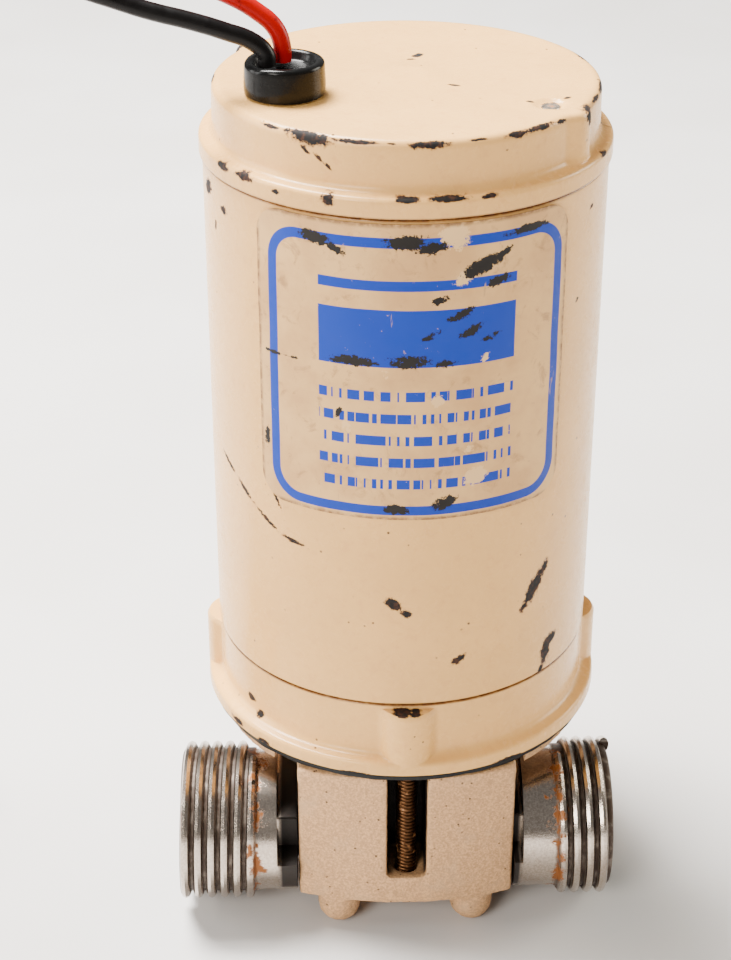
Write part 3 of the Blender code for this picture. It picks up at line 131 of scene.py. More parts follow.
# ------------------------------------------------------------------ mesh helpers
def rounded(points, steps=4):
    """Round the corners of an outline of (radius, height, corner size) points."""
    result = []
    count = len(points)
    for i, (radius, height, size) in enumerate(points):
        here = Vector((radius, height))
        if size <= 0.0 or i in (0, count - 1):
            result.append((radius, height))
            continue
        before = Vector(points[i - 1][:2]) - here
        after = Vector(points[i + 1][:2]) - here
        reach = min(size, before.length * 0.5, after.length * 0.5)
        start = here + before.normalized() * reach
        end = here + after.normalized() * reach
        for j in range(steps + 1):
            t = j / steps
            point = start * (1 - t) ** 2 + here * 2 * t * (1 - t) + end * t ** 2
            result.append((point.x, point.y))
    return result


def divided(points, longest):
    """Split an outline's long edges so that none is longer than a given length."""
    result = [points[0]]
    for start, end in zip(points, points[1:]):
        gap = math.dist(start, end)
        parts = max(1, math.ceil(gap / longest))
        for j in range(1, parts + 1):
            t = j / parts
            result.append(tuple(a + (b - a) * t for a, b in zip(start, end)))
    return result


def lathe(profile, steps, shape=None, centre=(AXIS_X, 0.0)):
    """Turn (radius, height) points about Z; shape may bend each point by its angle."""
    bm = bmesh.new()
    rings = []
    for radius, height in profile:
        if radius < 1e-7:
            rings.append([bm.verts.new((centre[0], centre[1], height))])
            continue
        ring = []
        for i in range(steps):
            angle = 2 * math.pi * i / steps
            r, z = shape(radius, height, angle) if shape else (radius, height)
            ring.append(bm.verts.new((centre[0] + r * math.cos(angle), centre[1] + r * math.sin(angle),
                z)))
        rings.append(ring)
    pairs = list(zip(rings, rings[1:]))
    if len(rings[0]) > 1 and len(rings[-1]) > 1:
        pairs.append((rings[-1], rings[0]))
    for first, second in pairs:
        for i in range(steps):
            j = (i + 1) % steps
            if len(first) == 1:
                bm.faces.new((first[0], second[j], second[i]))
            elif len(second) == 1:
                bm.faces.new((first[i], first[j], second[0]))
            else:
                bm.faces.new((first[i], first[j], second[j], second[i]))
    return to_mesh(bm)


def to_mesh(bm):
    """Close a bmesh into a smooth-shaded mesh whose faces point outwards."""
    bmesh.ops.recalc_face_normals(bm, faces=bm.faces)
    mesh = bpy.data.meshes.new("piece")
    bm.to_mesh(mesh)
    bm.free()
    mesh.shade_smooth()
    mesh.set_sharp_from_angle(angle=SMOOTH_ANGLE)
    return mesh


def smoothstep(low, high, value):
    """Zero below low, one above high, smooth between."""
    t = min(max((value - low) / (high - low), 0.0), 1.0)
    return t * t * (3 - 2 * t)


def soft_max(a, b, width):
    """The larger of two values, with a fillet where they meet."""
    h = max(width - abs(a - b), 0.0) / width
    return max(a, b) + h * h * width * 0.25


def boss_reach(angle, turns, centre, radius):
    """How far a ray from the axis reaches into upright bosses at the given turns."""
    best = 0.0
    for turn in turns:
        swing = angle - math.radians(turn)
        side = centre * math.sin(swing)
        if abs(side) < radius and math.cos(swing) > 0:
            best = max(best, centre * math.cos(swing) + math.sqrt(radius ** 2 - side ** 2))
    return best


def add_piece(name, mesh, material, replaced=(), body=BODY):
    """Link a finished mesh as a piece that rides on a body and stands for nodes."""
    obj = linked(name, mesh)
    mesh.materials.clear()
    mesh.materials.append(material)
    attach(obj, body)
    if replaced:
        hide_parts(*replaced)
    return obj


def evaluated_mesh(obj):
    """An object's mesh with its modifiers applied."""
    graph = bpy.context.evaluated_depsgraph_get()
    graph.update()
    mesh = bpy.data.meshes.new_from_object(obj.evaluated_get(graph))
    mesh.shade_smooth()
    mesh.set_sharp_from_angle(angle=SMOOTH_ANGLE)
    return mesh


def wear_field(mesh, marks, face_marks=(), field="worn"):
    """Store how deep each point lies in a worn mark: 1 at its middle, 0 at its edge.

    A wall mark is (degrees, height, half length, half width, tilt), a face mark on the
    top is (x, y, half length, half width, tilt), all lengths in millimetres.
    """
    values = []
    for vertex in mesh.vertices:
        x, y, z = (vertex.co.x - AXIS_X) / MM, vertex.co.y / MM, vertex.co.z / MM
        angle, radius = math.atan2(y, x), math.hypot(x, y)
        inwards = max(29.7 - radius, 0.0) if z > TOP_FACE / MM - 2.0 else 0.0
        places = []
        for degrees, height, *form in marks:
            swing = (angle - math.radians(degrees) + math.pi) % (2 * math.pi) - math.pi
            places.append((swing * max(radius, 25.0), z - height + inwards, *form))
        if z > TOP_FACE / MM - 1.0:
            places += [(x - a, y - b, *form) for a, b, *form in face_marks]
        best = -1.0
        for u, v, half_length, half_width, tilt in places:
            c, s = math.cos(math.radians(tilt)), math.sin(math.radians(tilt))
            along, across = (u * c + v * s) / half_length, (v * c - u * s) / half_width
            best = max(best, 1.0 - math.hypot(along, across))
        values.append(best)
    layer = mesh.attributes.new(field, "FLOAT", "POINT")
    layer.data.foreach_set("value", values)


# ------------------------------------------------------------------ shader helpers
class Paint:
    """A small builder for one node-based material."""

    def __init__(self, name):
        self.material = bpy.data.materials.new(name)
        self.material.use_nodes = True
        self.nodes = self.material.node_tree.nodes
        self.links = self.material.node_tree.links
        self.shader = self.nodes["Principled BSDF"]
        self.coords = self.nodes.new("ShaderNodeTexCoord")

    def feed(self, socket, value):
        """Link a socket or set a constant."""
        if isinstance(value, bpy.types.NodeSocket):
            self.links.new(value, socket)
        elif hasattr(value, "__len__") and len(value) == 3 and socket.type == "RGBA":
            socket.default_value = (*value, 1.0)
        else:
            socket.default_value = value

    def place(self, scale=(1.0, 1.0, 1.0), offset=(0.0, 0.0, 0.0), turn=(0.0, 0.0, 0.0)):
        """Object coordinates, scaled, turned and shifted."""
        node = self.nodes.new("ShaderNodeMapping")
        self.links.new(self.coords.outputs["Object"], node.inputs["Vector"])
        node.inputs["Scale"].default_value = scale
        node.inputs["Location"].default_value = offset
        node.inputs["Rotation"].default_value = turn
        return node.outputs["Vector"]

    def noise(self, size, detail=4.0, roughness=0.6, vector=None, distortion=0.0):
        """Fractal noise whose features are about size metres across."""
        node = self.nodes.new("ShaderNodeTexNoise")
        self.feed(node.inputs["Vector"], vector or self.coords.outputs["Object"])
        node.inputs["Scale"].default_value = 1.0 / size
        node.inputs["Detail"].default_value = detail
        node.inputs["Roughness"].default_value = roughness
        node.inputs["Distortion"].default_value = distortion
        return node.outputs["Fac"]

    def cells(self, size, vector=None, feature="F1"):
        """Distance to scattered points about size metres apart."""
        node = self.nodes.new("ShaderNodeTexVoronoi")
        node.feature = feature
        self.feed(node.inputs["Vector"], vector or self.coords.outputs["Object"])
        node.inputs["Scale"].default_value = 1.0 / size
        return node.outputs["Distance"]

    def attribute(self, name):
        """A float stored on the mesh."""
        node = self.nodes.new("ShaderNodeAttribute")
        node.attribute_name = name
        return node.outputs["Fac"]

    def sums(self, operation, a, b=0.0, c=0.0):
        """One math node."""
        node = self.nodes.new("ShaderNodeMath")
        node.operation = operation
        for socket, value in zip(node.inputs, (a, b, c)):
            self.feed(socket, value)
        return node.outputs["Value"]

    plus = partialmethod(sums, "ADD")
    less = partialmethod(sums, "SUBTRACT")
    times = partialmethod(sums, "MULTIPLY")
    over = partialmethod(sums, "DIVIDE")
    most = partialmethod(sums, "MAXIMUM")
    least = partialmethod(sums, "MINIMUM")
    magnitude = partialmethod(sums, "ABSOLUTE")
    square_root = partialmethod(sums, "SQRT")

    def span(self, value, low, high, start=0.0, end=1.0):
        """Map low..high smoothly to start..end."""
        node = self.nodes.new("ShaderNodeMapRange")
        node.interpolation_type = "SMOOTHSTEP"
        for name, item in (("Value", value), ("From Min", low), ("From Max", high), ("To Min", start),
                ("To Max", end)):
            self.feed(node.inputs[name], item)
        return node.outputs["Result"]

    def mix(self, factor, a, b, blend="MIX"):
        """Mix two colours."""
        node = self.nodes.new("ShaderNodeMix")
        node.data_type = "RGBA"
        node.blend_type = blend
        self.feed(node.inputs[0], factor)
        self.feed(node.inputs[6], a)
        self.feed(node.inputs[7], b)
        return node.outputs[2]

    def axis(self, name, vector=None):
        """One coordinate of a vector."""
        node = self.nodes.new("ShaderNodeSeparateXYZ")
        self.feed(node.inputs[0], vector or self.coords.outputs["Object"])
        return node.outputs[name]

    def bump(self, height, strength, distance, normal=None):
        """Raise the surface by a height pattern."""
        node = self.nodes.new("ShaderNodeBump")
        self.feed(node.inputs["Height"], height)
        node.inputs["Strength"].default_value = strength
        node.inputs["Distance"].default_value = distance
        if normal:
            self.links.new(normal, node.inputs["Normal"])
        return node.outputs["Normal"]

    def done(self, **sockets):
        """Feed the shader's sockets, named with underscores for spaces."""
        for name, value in sockets.items():
            self.feed(self.shader.inputs[name.replace("_", " ")], value)
        return self.material


def enamel_material(name):
    """Cream enamel with specks, and bare rusty metal where the worn field is high."""
    p = Paint(name)
    base = tuple(bpy.context.scene.pump_colours.enamel)
    worn = p.attribute("worn")
    ragged = p.noise(0.9 * MM, 6.0, 0.72)
    depth = p.plus(worn, p.times(p.less(ragged, 0.5), 1.7))
    bare = p.span(depth, 0.26, 0.33)
    halo = p.span(depth, 0.0, 0.3)
    clouds = p.noise(14 * MM, 3.0)
    cream = p.mix(p.span(clouds, 0.35, 0.7), base, tuple(min(1.0, c * 1.06) for c in base))
    mottle = p.noise(1.7 * MM, 5.0, 0.7, distortion=0.4)
    cream = p.mix(p.span(mottle, 0.50, 0.72, 0.0, 0.28), cream, (0.50, 0.22, 0.075))
    dirt = p.noise(2.2 * MM, 7.0, 0.75, distortion=0.6)
    cream = p.mix(p.span(dirt, 0.66, 0.8, 0.0, 0.45), cream, (0.26, 0.12, 0.035))
    specks = p.cells(2.6 * MM)
    speck_mask = p.times(p.span(specks, 0.10, 0.05), p.span(p.noise(7 * MM, 2.0), 0.52, 0.60))
    cream = p.mix(speck_mask, cream, (0.09, 0.04, 0.015))
    cream = p.mix(p.times(halo, 0.7), cream, (0.26, 0.11, 0.03))
    seams = 0.0
    for height in (CAN_LOW - 0.15 * MM, CAN_HIGH + 0.15 * MM):
        away = p.magnitude(p.less(p.axis("Z"), height))
        seams = p.most(p.span(away, 0.55 * MM, 0.2 * MM), seams)
    cream = p.mix(p.times(seams, p.span(dirt, 0.25, 0.6, 0.45, 1.0)), cream, (0.14, 0.05, 0.015))
    rust = p.mix(p.span(p.noise(0.8 * MM, 5.0), 0.46, 0.66), (0.005, 0.004, 0.004), (0.045, 0.016, 0.007))
    colour = p.mix(bare, cream, rust)
    rough = p.plus(p.span(dirt, 0.4, 0.8, 0.22, 0.40), p.times(bare, 0.5))
    peel = p.times(p.noise(0.7 * MM, 2.0), 0.12)
    height = p.less(peel, p.most(bare, speck_mask))
    return p.done(Base_Color=colour, Roughness=rough, Normal=p.bump(height, 0.55, 0.12 * MM),
        Specular_IOR_Level=0.25)


def painted_shade_field(mesh, inside):
    """Mark the points that lie down in a recess, where black shade is painted on."""
    layer = mesh.attributes.new("painted_recess_shade", "FLOAT", "POINT")
    layer.data.foreach_set("value", [inside(vertex.co) for vertex in mesh.vertices])


def cast_material():
    """Sandy bare casting with bright high spots, and painted black shade in its recesses."""
    p = Paint("sand_casting")
    base = tuple(bpy.context.scene.pump_colours.casting)
    grain = p.noise(0.42 * MM, 5.0, 0.7)
    patches = p.noise(6 * MM, 4.0)
    colour = p.mix(p.span(grain, 0.38, 0.66), tuple(c * 0.62 for c in base), base)
    colour = p.mix(p.span(patches, 0.50, 0.75, 0.0, 0.5), colour, (0.50, 0.33, 0.19))
    pits = p.span(p.cells(1.5 * MM), 0.16, 0.08)
    pits = p.times(pits, p.span(p.noise(5 * MM, 2.0), 0.48, 0.58))
    colour = p.mix(pits, colour, (0.10, 0.06, 0.035))
    # painted shade: near black wherever the recess field marks the slot and the flanks beside the necks
    colour = p.mix(p.attribute("painted_recess_shade"), colour, (0.012, 0.008, 0.006))
    height = p.less(grain, pits)
    return p.done(Base_Color=colour, Metallic=0.1, Roughness=p.span(grain, 0.3, 0.7, 0.42, 0.68),
        Specular_IOR_Level=0.18, Normal=p.bump(height, 0.8, 0.16 * MM))


def plated_material():
    """Plated metal, bright on the crests, with brown dirt and painted shade down in the thread."""
    p = Paint("plated_metal")
    y = p.less(p.axis("Y"), PORT_Y)
    z = p.less(p.axis("Z"), PORT_Z)
    radius = p.square_root(p.plus(p.times(y, y), p.times(z, z)))
    depth = p.span(radius, 13.25 * MM, 12.45 * MM)
    stains = p.noise(3.0 * MM, 6.0, 0.7)
    fine = p.noise(0.35 * MM, 4.0)
    reach = p.magnitude(p.less(p.axis("X"), AXIS_X))
    threaded = p.span(reach, 25.0 * MM, 25.8 * MM)
    # brown dirt and painted shade, dark down in the thread roots
    root_dirt_and_shade = p.times(p.times(depth, threaded), p.span(stains, 0.30, 0.55, 0.7, 1.0))
    colour = p.mix(p.span(fine, 0.3, 0.7), (0.40, 0.33, 0.27), (0.58, 0.50, 0.43))
    colour = p.mix(root_dirt_and_shade, colour, (0.035, 0.018, 0.009))
    root = p.less(1.0, p.magnitude(p.over(p.less(reach, 25.6 * MM), 2.2 * MM)))
    rust = p.span(p.plus(stains, p.times(root, 0.16)), 0.60, 0.70)
    colour = p.mix(rust, colour, (0.22, 0.07, 0.010))
    # painted shade: near black in the notch that the recess field marks
    colour = p.mix(p.attribute("painted_recess_shade"), colour, (0.012, 0.008, 0.006))
    dull = p.most(p.most(root_dirt_and_shade, rust), p.attribute("painted_recess_shade"))
    return p.done(Base_Color=colour, Metallic=p.span(dull, 0.3, 1.0, 1.0, 0.45),
        Roughness=p.span(dull, 0.0, 1.0, 0.20, 0.55), Normal=p.bump(p.plus(fine, stains), 0.35,
        0.06 * MM))


def steel_material(name, tint, rust_amount):
    """Small steel hardware with rust in its low places."""
    p = Paint(name)
    stains = p.noise(1.2 * MM, 6.0, 0.7)
    colour = p.mix(p.span(p.noise(0.3 * MM), 0.3, 0.7), tuple(c * 0.75 for c in tint), tint)
    rust = p.span(stains, 0.72 - 0.3 * rust_amount, 0.80 - 0.2 * rust_amount)
    colour = p.mix(rust, colour, (0.30, 0.13, 0.045))
    return p.done(Base_Color=colour, Metallic=p.span(rust, 0.0, 1.0, 1.0, 0.3),
        Roughness=p.span(stains, 0.3, 0.8, 0.28, 0.6), Normal=p.bump(stains, 0.4, 0.05 * MM))


def rubber_material(name, colour, roughness):
    """Moulded rubber, slightly dusty."""
    p = Paint(name)
    dust = p.noise(1.6 * MM, 6.0, 0.7)
    grey = tuple(c + 0.03 for c in colour)
    shade = p.mix(p.span(dust, 0.56, 0.8, 0.0, 0.4), colour, grey)
    return p.done(Base_Color=shade, Specular_IOR_Level=0.12,
        Roughness=p.span(dust, 0.35, 0.75, roughness, roughness + 0.2),
        Normal=p.bump(p.noise(0.5 * MM), 0.3, 0.04 * MM))


def vinyl_material(name, colour, smudge):
    """Vinyl lead sheath with smears of dirt."""
    p = Paint(name)
    smears = p.noise(4.0 * MM, 6.0, 0.68, distortion=0.8)
    dark = p.span(smears, 0.72 - 0.22 * smudge, 0.80 - 0.18 * smudge)
    shade = p.mix(dark, colour, (0.004, 0.003, 0.003))
    return p.done(Base_Color=shade, Specular_IOR_Level=0.12,
        Roughness=p.span(smears, 0.3, 0.8, 0.25, 0.5), Normal=p.bump(p.noise(0.8 * MM), 0.2, 0.03 * MM))


def plain_worn_material(name, colour, metallic, roughness, size=1.0 * MM):
    """A simple two-tone finish for the pieces inside."""
    p = Paint(name)
    grain = p.noise(size, 5.0)
    shade = p.mix(p.span(grain, 0.3, 0.7), tuple(c * 0.7 for c in colour), colour)
    return p.done(Base_Color=shade, Metallic=metallic,
        Roughness=p.span(grain, 0.3, 0.7, roughness, min(1.0, roughness + 0.15)),
        Normal=p.bump(grain, 0.3, 0.05 * MM))


# ------------------------------------------------------------------ stage
class PUMP_OT_camera(bpy.types.Operator):
    """Set the camera in front of the pump, looking down on it"""

    bl_idname = "pump.camera"
    bl_label = "Camera"

    def execute(self, context):
        data = bpy.data.cameras.new("camera")
        data.lens = 78.75
        data.sensor_width = 36.0
        data.sensor_fit = "AUTO"
        data.clip_start = 0.01
        data.dof.use_dof = False
        camera = linked("camera", data)
        camera.location = (AXIS_X - 13.25 * MM, -310.29 * MM, 241.40 * MM)
        camera.rotation_euler = (math.radians(61.23), 0.0, math.radians(-1.3))
        context.scene.camera = camera
        return {"FINISHED"}


class PUMP_OT_stage(bpy.types.Operator):
    """Lay the pale floor and hang the soft lights"""

    bl_idname = "pump.stage"
    bl_label = "Floor and lights"

    def execute(self, context):
        settings = context.scene.pump_stage
        bm = bmesh.new()
        bmesh.ops.create_grid(bm, x_segments=1, y_segments=1, size=3.0)
        bmesh.ops.translate(bm, vec=(0.0, 0.0, -0.05 * MM), verts=bm.verts)
        mesh = bpy.data.meshes.new("floor")
        bm.to_mesh(mesh)
        bm.free()
        floor = linked("floor", mesh)
        p = Paint("floor")
        warm = p.noise(80 * MM, 2.0)
        shade = p.mix(p.span(warm, 0.35, 0.65), (0.55, 0.53, 0.51), (0.58, 0.565, 0.55))
        mesh.materials.append(p.done(Base_Color=shade, Roughness=0.6))
        self.light("key", (-0.30, 0.26, 0.90), 0.42, settings.key_power, (1.0, 0.98, 0.95))
        self.light("fill", (-0.48, -0.72, 0.48), 0.4, settings.fill_power, (1.0, 0.95, 0.88))
        self.light("left", (-0.80, 0.05, 0.30), 0.5, settings.fill_power * 0.8, (1.0, 0.99, 0.97))
        self.light("right", (0.75, 0.20, 0.34), 0.4, settings.fill_power * 0.7, (1.0, 0.96, 0.84))
        world = bpy.data.worlds.new("sky")
        world.use_nodes = True
        sky = world.node_tree.nodes["Background"]
        sky.inputs["Color"].default_value = (1.0, 0.985, 0.965, 1.0)
        sky.inputs["Strength"].default_value = settings.sky_strength
        context.scene.world = world
        return {"FINISHED"}

    @staticmethod
    def light(name, place, size, power, colour):
        """A square area light that faces the pump."""
        data = bpy.data.lights.new(name, "AREA")
        data.size = size
        data.energy = power
        data.color = colour
        lamp = linked(name, data)
        lamp.location = place
        aim = Vector((AXIS_X, 0.0, 0.07)) - Vector(place)
        lamp.rotation_euler = aim.to_track_quat("-Z", "Y").to_euler()


# ------------------------------------------------------------------ leads
# Points from the motor axis, and from the coil's middle, in millimetres.
BLACK_ROUTE = ((-20.9, -9.5, 146), (-21.1, -9.5, 147.8), (-23, -9.6, 149.7), (-26.8, -9.9, 151.3),
    (-32, -10.1, 153), (-38, -10.2, 154.6), (-44, -10.2, 156.6), (-50.5, -10, 158.6),
    (-57.5, -9.6, 159.8), (-64.5, -9.1, 159.6), (-70.5, -8.6, 158.3), (-77, -8.4, 155.9),
    (-86.5, -8.4, 151.9), (-96, -8.4, 146.9), (-104, -8.4, 138), (-109.2, -8.4, 125), (-111.8, -8.4, 108),
    (-112.6, -8.4, 88), (-112.4, -8.2, 68), (-111.2, -7.8, 49), (-108.8, -7, 32), (-105.4, -5.6, 19.5),
    (-101.6, -3.4, 11.7), (-98.2, -0.6, 8.1))
RED_ROUTE = ((-18.7, -7.3, 146), (-18.7, -7.2, 148.2), (-19.7, -7, 151), (-22.4, -6.7, 153.4),
    (-26.2, -6.5, 155.6), (-32, -6, 157.7), (-38.5, -5.6, 159.3), (-45, -5.3, 160.3),
    (-51.5, -5.2, 160.7), (-58, -5.3, 160.6), (-64.5, -5.5, 159.9), (-70.6, -5.6, 158.3),
    (-77, -5.6, 155.9), (-86.5, -5.6, 151.9), (-96, -5.6, 146.9), (-104, -5.6, 138), (-109.2, -5.6, 125),
    (-111.8, -5.5, 108), (-112.6, -5.2, 88), (-112.4, -4.6, 68), (-111.2, -3.6, 49), (-108.8, -2, 32),
    (-105.6, 0.4, 19.5), (-102, 2.8, 11.7), (-98.8, 4.6, 8.1))
COIL_PLACE = (-96.5, -4, 0)
BLACK_ENTRY = ((1.5, 6.3, 5.0), (5.6, 8.2, 2.6), (9.6, 7.9, 1.5))
BLACK_EXIT = ((-20.1, -0.8, 1.5), (-21.3, 2.6, 1.9), (-21.9, 5.2, 2.1), (-21.95, 7.2, 2.1))
RED_ENTRY = ((2.0, 10.6, 6.9), (7.0, 10.6, 5.3), (10.6, 7.2, 4.3))
RED_EXIT = ((3.2, -19.4, 3.9), (0.2, -21.3, 2.8), (-2.4, -21.9, 2.2), (-5.6, -21.95, 2.1))
TURN_POINTS = 16
TURN_PITCH = 2.75


def coil_turns(start, sweep, height):
    """A flat spiral of turns that lie beside each other, wound clockwise."""
    count = round(abs(sweep) / 360.0 * TURN_POINTS)
    points = []
    for i in range(count + 1):
        angle = math.radians(start - sweep * i / count)
        radius = 12.4 + TURN_PITCH * sweep / 360.0 * i / count
        points.append((radius * math.cos(angle), radius * math.sin(angle), height))
    return points


def lead_points(route, entry, turns, leave):
    """A whole lead: its free run, its way into the coil, its turns and its end."""
    axis, coil = Vector((AXIS_X, 0.0, 0.0)), Vector(COIL_PLACE) * MM
    points = [axis + Vector(point) * MM for point in route]
    points += [axis + coil + Vector(point) * MM for point in (*entry, *turns, *leave)]
    return points


class PUMP_OT_leads(bpy.types.Operator):
    """Run the red and black leads to their coil"""

    bl_idname = "pump.leads"
    bl_label = "Leads"

    def execute(self, context):
        sizes = context.scene.pump_sizes
        red = tuple(context.scene.pump_colours.lead_red)
        black_points = lead_points(BLACK_ROUTE, BLACK_ENTRY, coil_turns(22.0, 908.0, 1.4), BLACK_EXIT)
        red_points = lead_points(RED_ROUTE, RED_ENTRY, coil_turns(16.0, 804.0, 4.25), RED_EXIT)
        self.make("black_lead_run", black_points, sizes, "black_lead",
            vinyl_material("black_vinyl_sheath", (0.004, 0.0035, 0.0035), 0.0), "black_vinyl",
            ("black_lead", "lead_coil"), "black_terminal")
        self.make("red_lead_run", red_points, sizes, "red_lead",
            vinyl_material("red_vinyl_sheath", red, 0.75), "red_vinyl", ("red_lead",), "red_terminal")
        return {"FINISHED"}

    @staticmethod
    def make(name, points, sizes, node, material, slot, replaced, end):
        """One lead as a round tube on a smooth spline."""
        curve = bpy.data.curves.new(name, "CURVE")
        curve.dimensions = "3D"
        curve.resolution_u = 6
        curve.bevel_depth = sizes.lead_diameter / 2
        curve.bevel_resolution = 5
        curve.use_fill_caps = True
        spline = curve.splines.new("BEZIER")
        spline.bezier_points.add(len(points) - 1)
        for target, point in zip(spline.bezier_points, points):
            target.co = point
            target.handle_left_type = "AUTO"
            target.handle_right_type = "AUTO"
        curve.materials.append(material)
        lead = linked(name, curve)
        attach(lead, BODY)
        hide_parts(*replaced)


class PUMP_OT_lead_fittings(bpy.types.Operator):
    """Make the frayed sleeve and the lead grommet"""

    bl_idname = "pump.lead_fittings"
    bl_label = "Sleeve and grommet"

    def execute(self, context):
        self.sleeve()
        self.grommet()
        return {"FINISHED"}

    @staticmethod
    def sleeve():
        """Slack tube round both leads, torn at its ends."""
        start = Vector((AXIS_X - 0.0752, -0.0070, 0.15665))
        end = Vector((AXIS_X - 0.0884, -0.0070, 0.15108))
        length = (end - start).length
        random.seed(7)
        steps = 48
        torn = [random.uniform(0.0, 1.6 * MM) * (1 if i % 2 else 0.2) for i in range(steps)]
        inner, outer = 3.1 * MM, 3.6 * MM
        bm = bmesh.new()
        rows = []
        for radius, heights in ((outer, (0.0, 0.2, 0.4, 0.6, 0.8, 1.0)),
                (inner, (1.0, 0.8, 0.6, 0.4, 0.2, 0.0))):
            for share in heights:
                row = []
                for i in range(steps):
                    angle = 2 * math.pi * i / steps
                    z = share * length
                    if share in (0.0, 1.0):
                        cut = torn[i if share == 0.0 else (i * 7) % steps]
                        z += cut if share == 0.0 else -cut
                    wobble = 0.12 * MM * noise.noise(Vector((i * 0.4, share * 5.0, 3.0)))
                    r = radius + wobble
                    row.append(bm.verts.new((r * math.cos(angle), r * math.sin(angle), z)))
                rows.append(row)
        for first, second in zip(rows, rows[1:] + rows[:1]):
            for i in range(steps):
                j = (i + 1) % steps
                bm.faces.new((first[i], first[j], second[j], second[i]))
        mesh = to_mesh(bm)
        turn = (end - start).to_track_quat("Z", "Y").to_matrix().to_4x4()
        mesh.transform(Matrix.Translation(start) @ turn)
        add_piece("frayed_sleeve", mesh, rubber_material("sleeve_vinyl", (0.012,) * 3, 0.5),
            ("lead_sleeve",))

    @staticmethod
    def grommet():
        """Glossy moulded grommet with a rolled rim."""
        low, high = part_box("lead_grommet")
        centre = ((low.x + high.x) / 2, (low.y + high.y) / 2)
        radius = (high.x - low.x) / 2
        top, seat = high.z, TOP_FACE + 0.25 * MM
        profile = rounded([(0.0, top - 1.5 * MM, 0), (radius * 0.64, top - 1.5 * MM, 0.5 * MM),
            (radius * 0.78, top, 0.8 * MM), (radius * 0.97, top - 0.2 * MM, 1.3 * MM),
            (radius, seat + 1.2 * MM, 0.8 * MM), (radius * 0.985, seat, 0.3 * MM), (4.2 * MM, seat, 0.0),
            (4.2 * MM, low.z, 0.0), (0.0, low.z, 0.0)], 6)

        def shape(r, z, angle):
            """Press the rim in a little where the leads lie."""
            swing = math.cos(angle - math.radians(200.0))
            dent = 0.25 * MM * smoothstep(0.6, 1.0, swing) * smoothstep(seat, top, z)
            return r, z - dent

        mesh = lathe(divided(profile, 0.8 * MM), 96, shape, centre)
        add_piece("moulded_grommet", mesh, rubber_material("grommet_rubber", (0.004,) * 3, 0.16),
            ("lead_grommet",))


# ------------------------------------------------------------------ motor
CAN_MARKS = ((-94.6, 65.9, 1.9, 1.1, -32), (-91.0, 64.2, 1.3, 0.8, -30), (-50.0, 64.4, 4.6, 1.5, 58),
    (-46.0, 67.2, 2.0, 0.9, 65), (-54.0, 61.4, 1.2, 0.7, 40), (-75.5, 54.8, 1.7, 0.8, 30),
    (-43.5, 50.6, 3.4, 1.5, 78), (-41.0, 52.4, 1.9, 1.3, 20), (-45.5, 47.4, 1.3, 0.8, 60),
    (-154.0, 82.2, 3.6, 0.5, -25), (-145.0, 79.6, 3.8, 0.5, -32), (-135.0, 76.4, 4.0, 0.5, -28),
    (-125.0, 74.4, 3.4, 0.45, -10), (-131.0, 81.0, 2.6, 0.4, -60), (-164.0, 127.0, 2.4, 1.5, 20),
    (-152.0, 125.5, 1.5, 0.8, 0), (-158.0, 122.0, 1.2, 0.5, 80), (-30.0, 126.0, 0.9, 0.5, 0),
    (-36.0, 112.0, 0.8, 0.4, 40), (40.0, 110.0, 3.0, 1.1, 35), (75.0, 66.0, 2.6, 1.0, -40),
    (120.0, 92.0, 2.2, 0.8, 15), (12.0, 74.0, 1.8, 0.9, 70), (-8.0, 58.0, 2.4, 0.8, 20),
    (98.0, 122.0, 1.6, 0.8, 0), (150.0, 58.0, 2.0, 0.9, 60))
TOP_MARKS = ((-133.5, 141.0, 2.2, 0.5, 0), (-119.5, 140.7, 4.2, 1.5, 0), (-124.0, 141.2, 3.0, 0.9, 0),
    (-106.0, 141.1, 4.4, 0.6, 0), (-96.0, 141.2, 2.0, 0.3, 0), (-86.0, 140.9, 3.8, 0.9, 0),
    (-72.0, 141.2, 2.0, 0.4, 0), (-60.0, 141.0, 2.6, 0.8, 0), (-52.0, 141.2, 3.6, 0.8, 0),
    (-43.0, 141.0, 1.4, 0.6, 0), (-30.5, 140.3, 3.0, 1.8, 0), (-20.0, 141.0, 2.4, 0.7, 0),
    (-8.0, 140.9, 4.0, 0.9, 0), (-3.0, 135.0, 1.2, 1.6, 0), (-121.0, 138.7, 1.1, 0.4, -30),
    (-117.0, 138.0, 1.1, 0.4, -40), (-114.0, 136.8, 0.9, 0.35, -50), (-112.7, 132.7, 1.5, 1.1, 10),
    (-92.0, 133.3, 2.4, 0.5, 0), (-81.0, 133.3, 3.6, 0.5, 0), (-70.0, 133.2, 1.6, 0.4, 0),
    (-150.0, 132.8, 2.0, 0.8, 0), (-140.0, 132.9, 2.4, 0.8, 0), (-128.0, 132.3, 1.0, 0.5, 0),
    (-2.0, 132.6, 2.0, 0.9, 0), (-24.0, 133.2, 1.6, 0.4, 0), (40.0, 141.1, 5.0, 0.7, 0),
    (95.0, 141.1, 4.0, 0.7, 0), (150.0, 141.0, 4.5, 0.9, 0), (12.0, 141.0, 3.0, 0.8, 0),
    (178.0, 141.0, 3.0, 0.7, 0), (65.0, 133.0, 3.0, 0.6, 0), (120.0, 132.8, 2.2, 0.8, 0))
FACE_MARKS = ((28.2, 8.5, 4.6, 0.9, 108), (24.0, 17.2, 4.0, 0.7, 126), (2.2, 9.8, 1.5, 0.9, 60),
    (1.0, 7.6, 0.9, 0.5, 0), (7.0, -5.2, 1.3, 0.5, -15), (20.6, -12.6, 1.4, 0.6, 10),
    (23.4, -11.4, 1.0, 0.5, 40), (17.8, -13.0, 0.9, 0.5, -20))
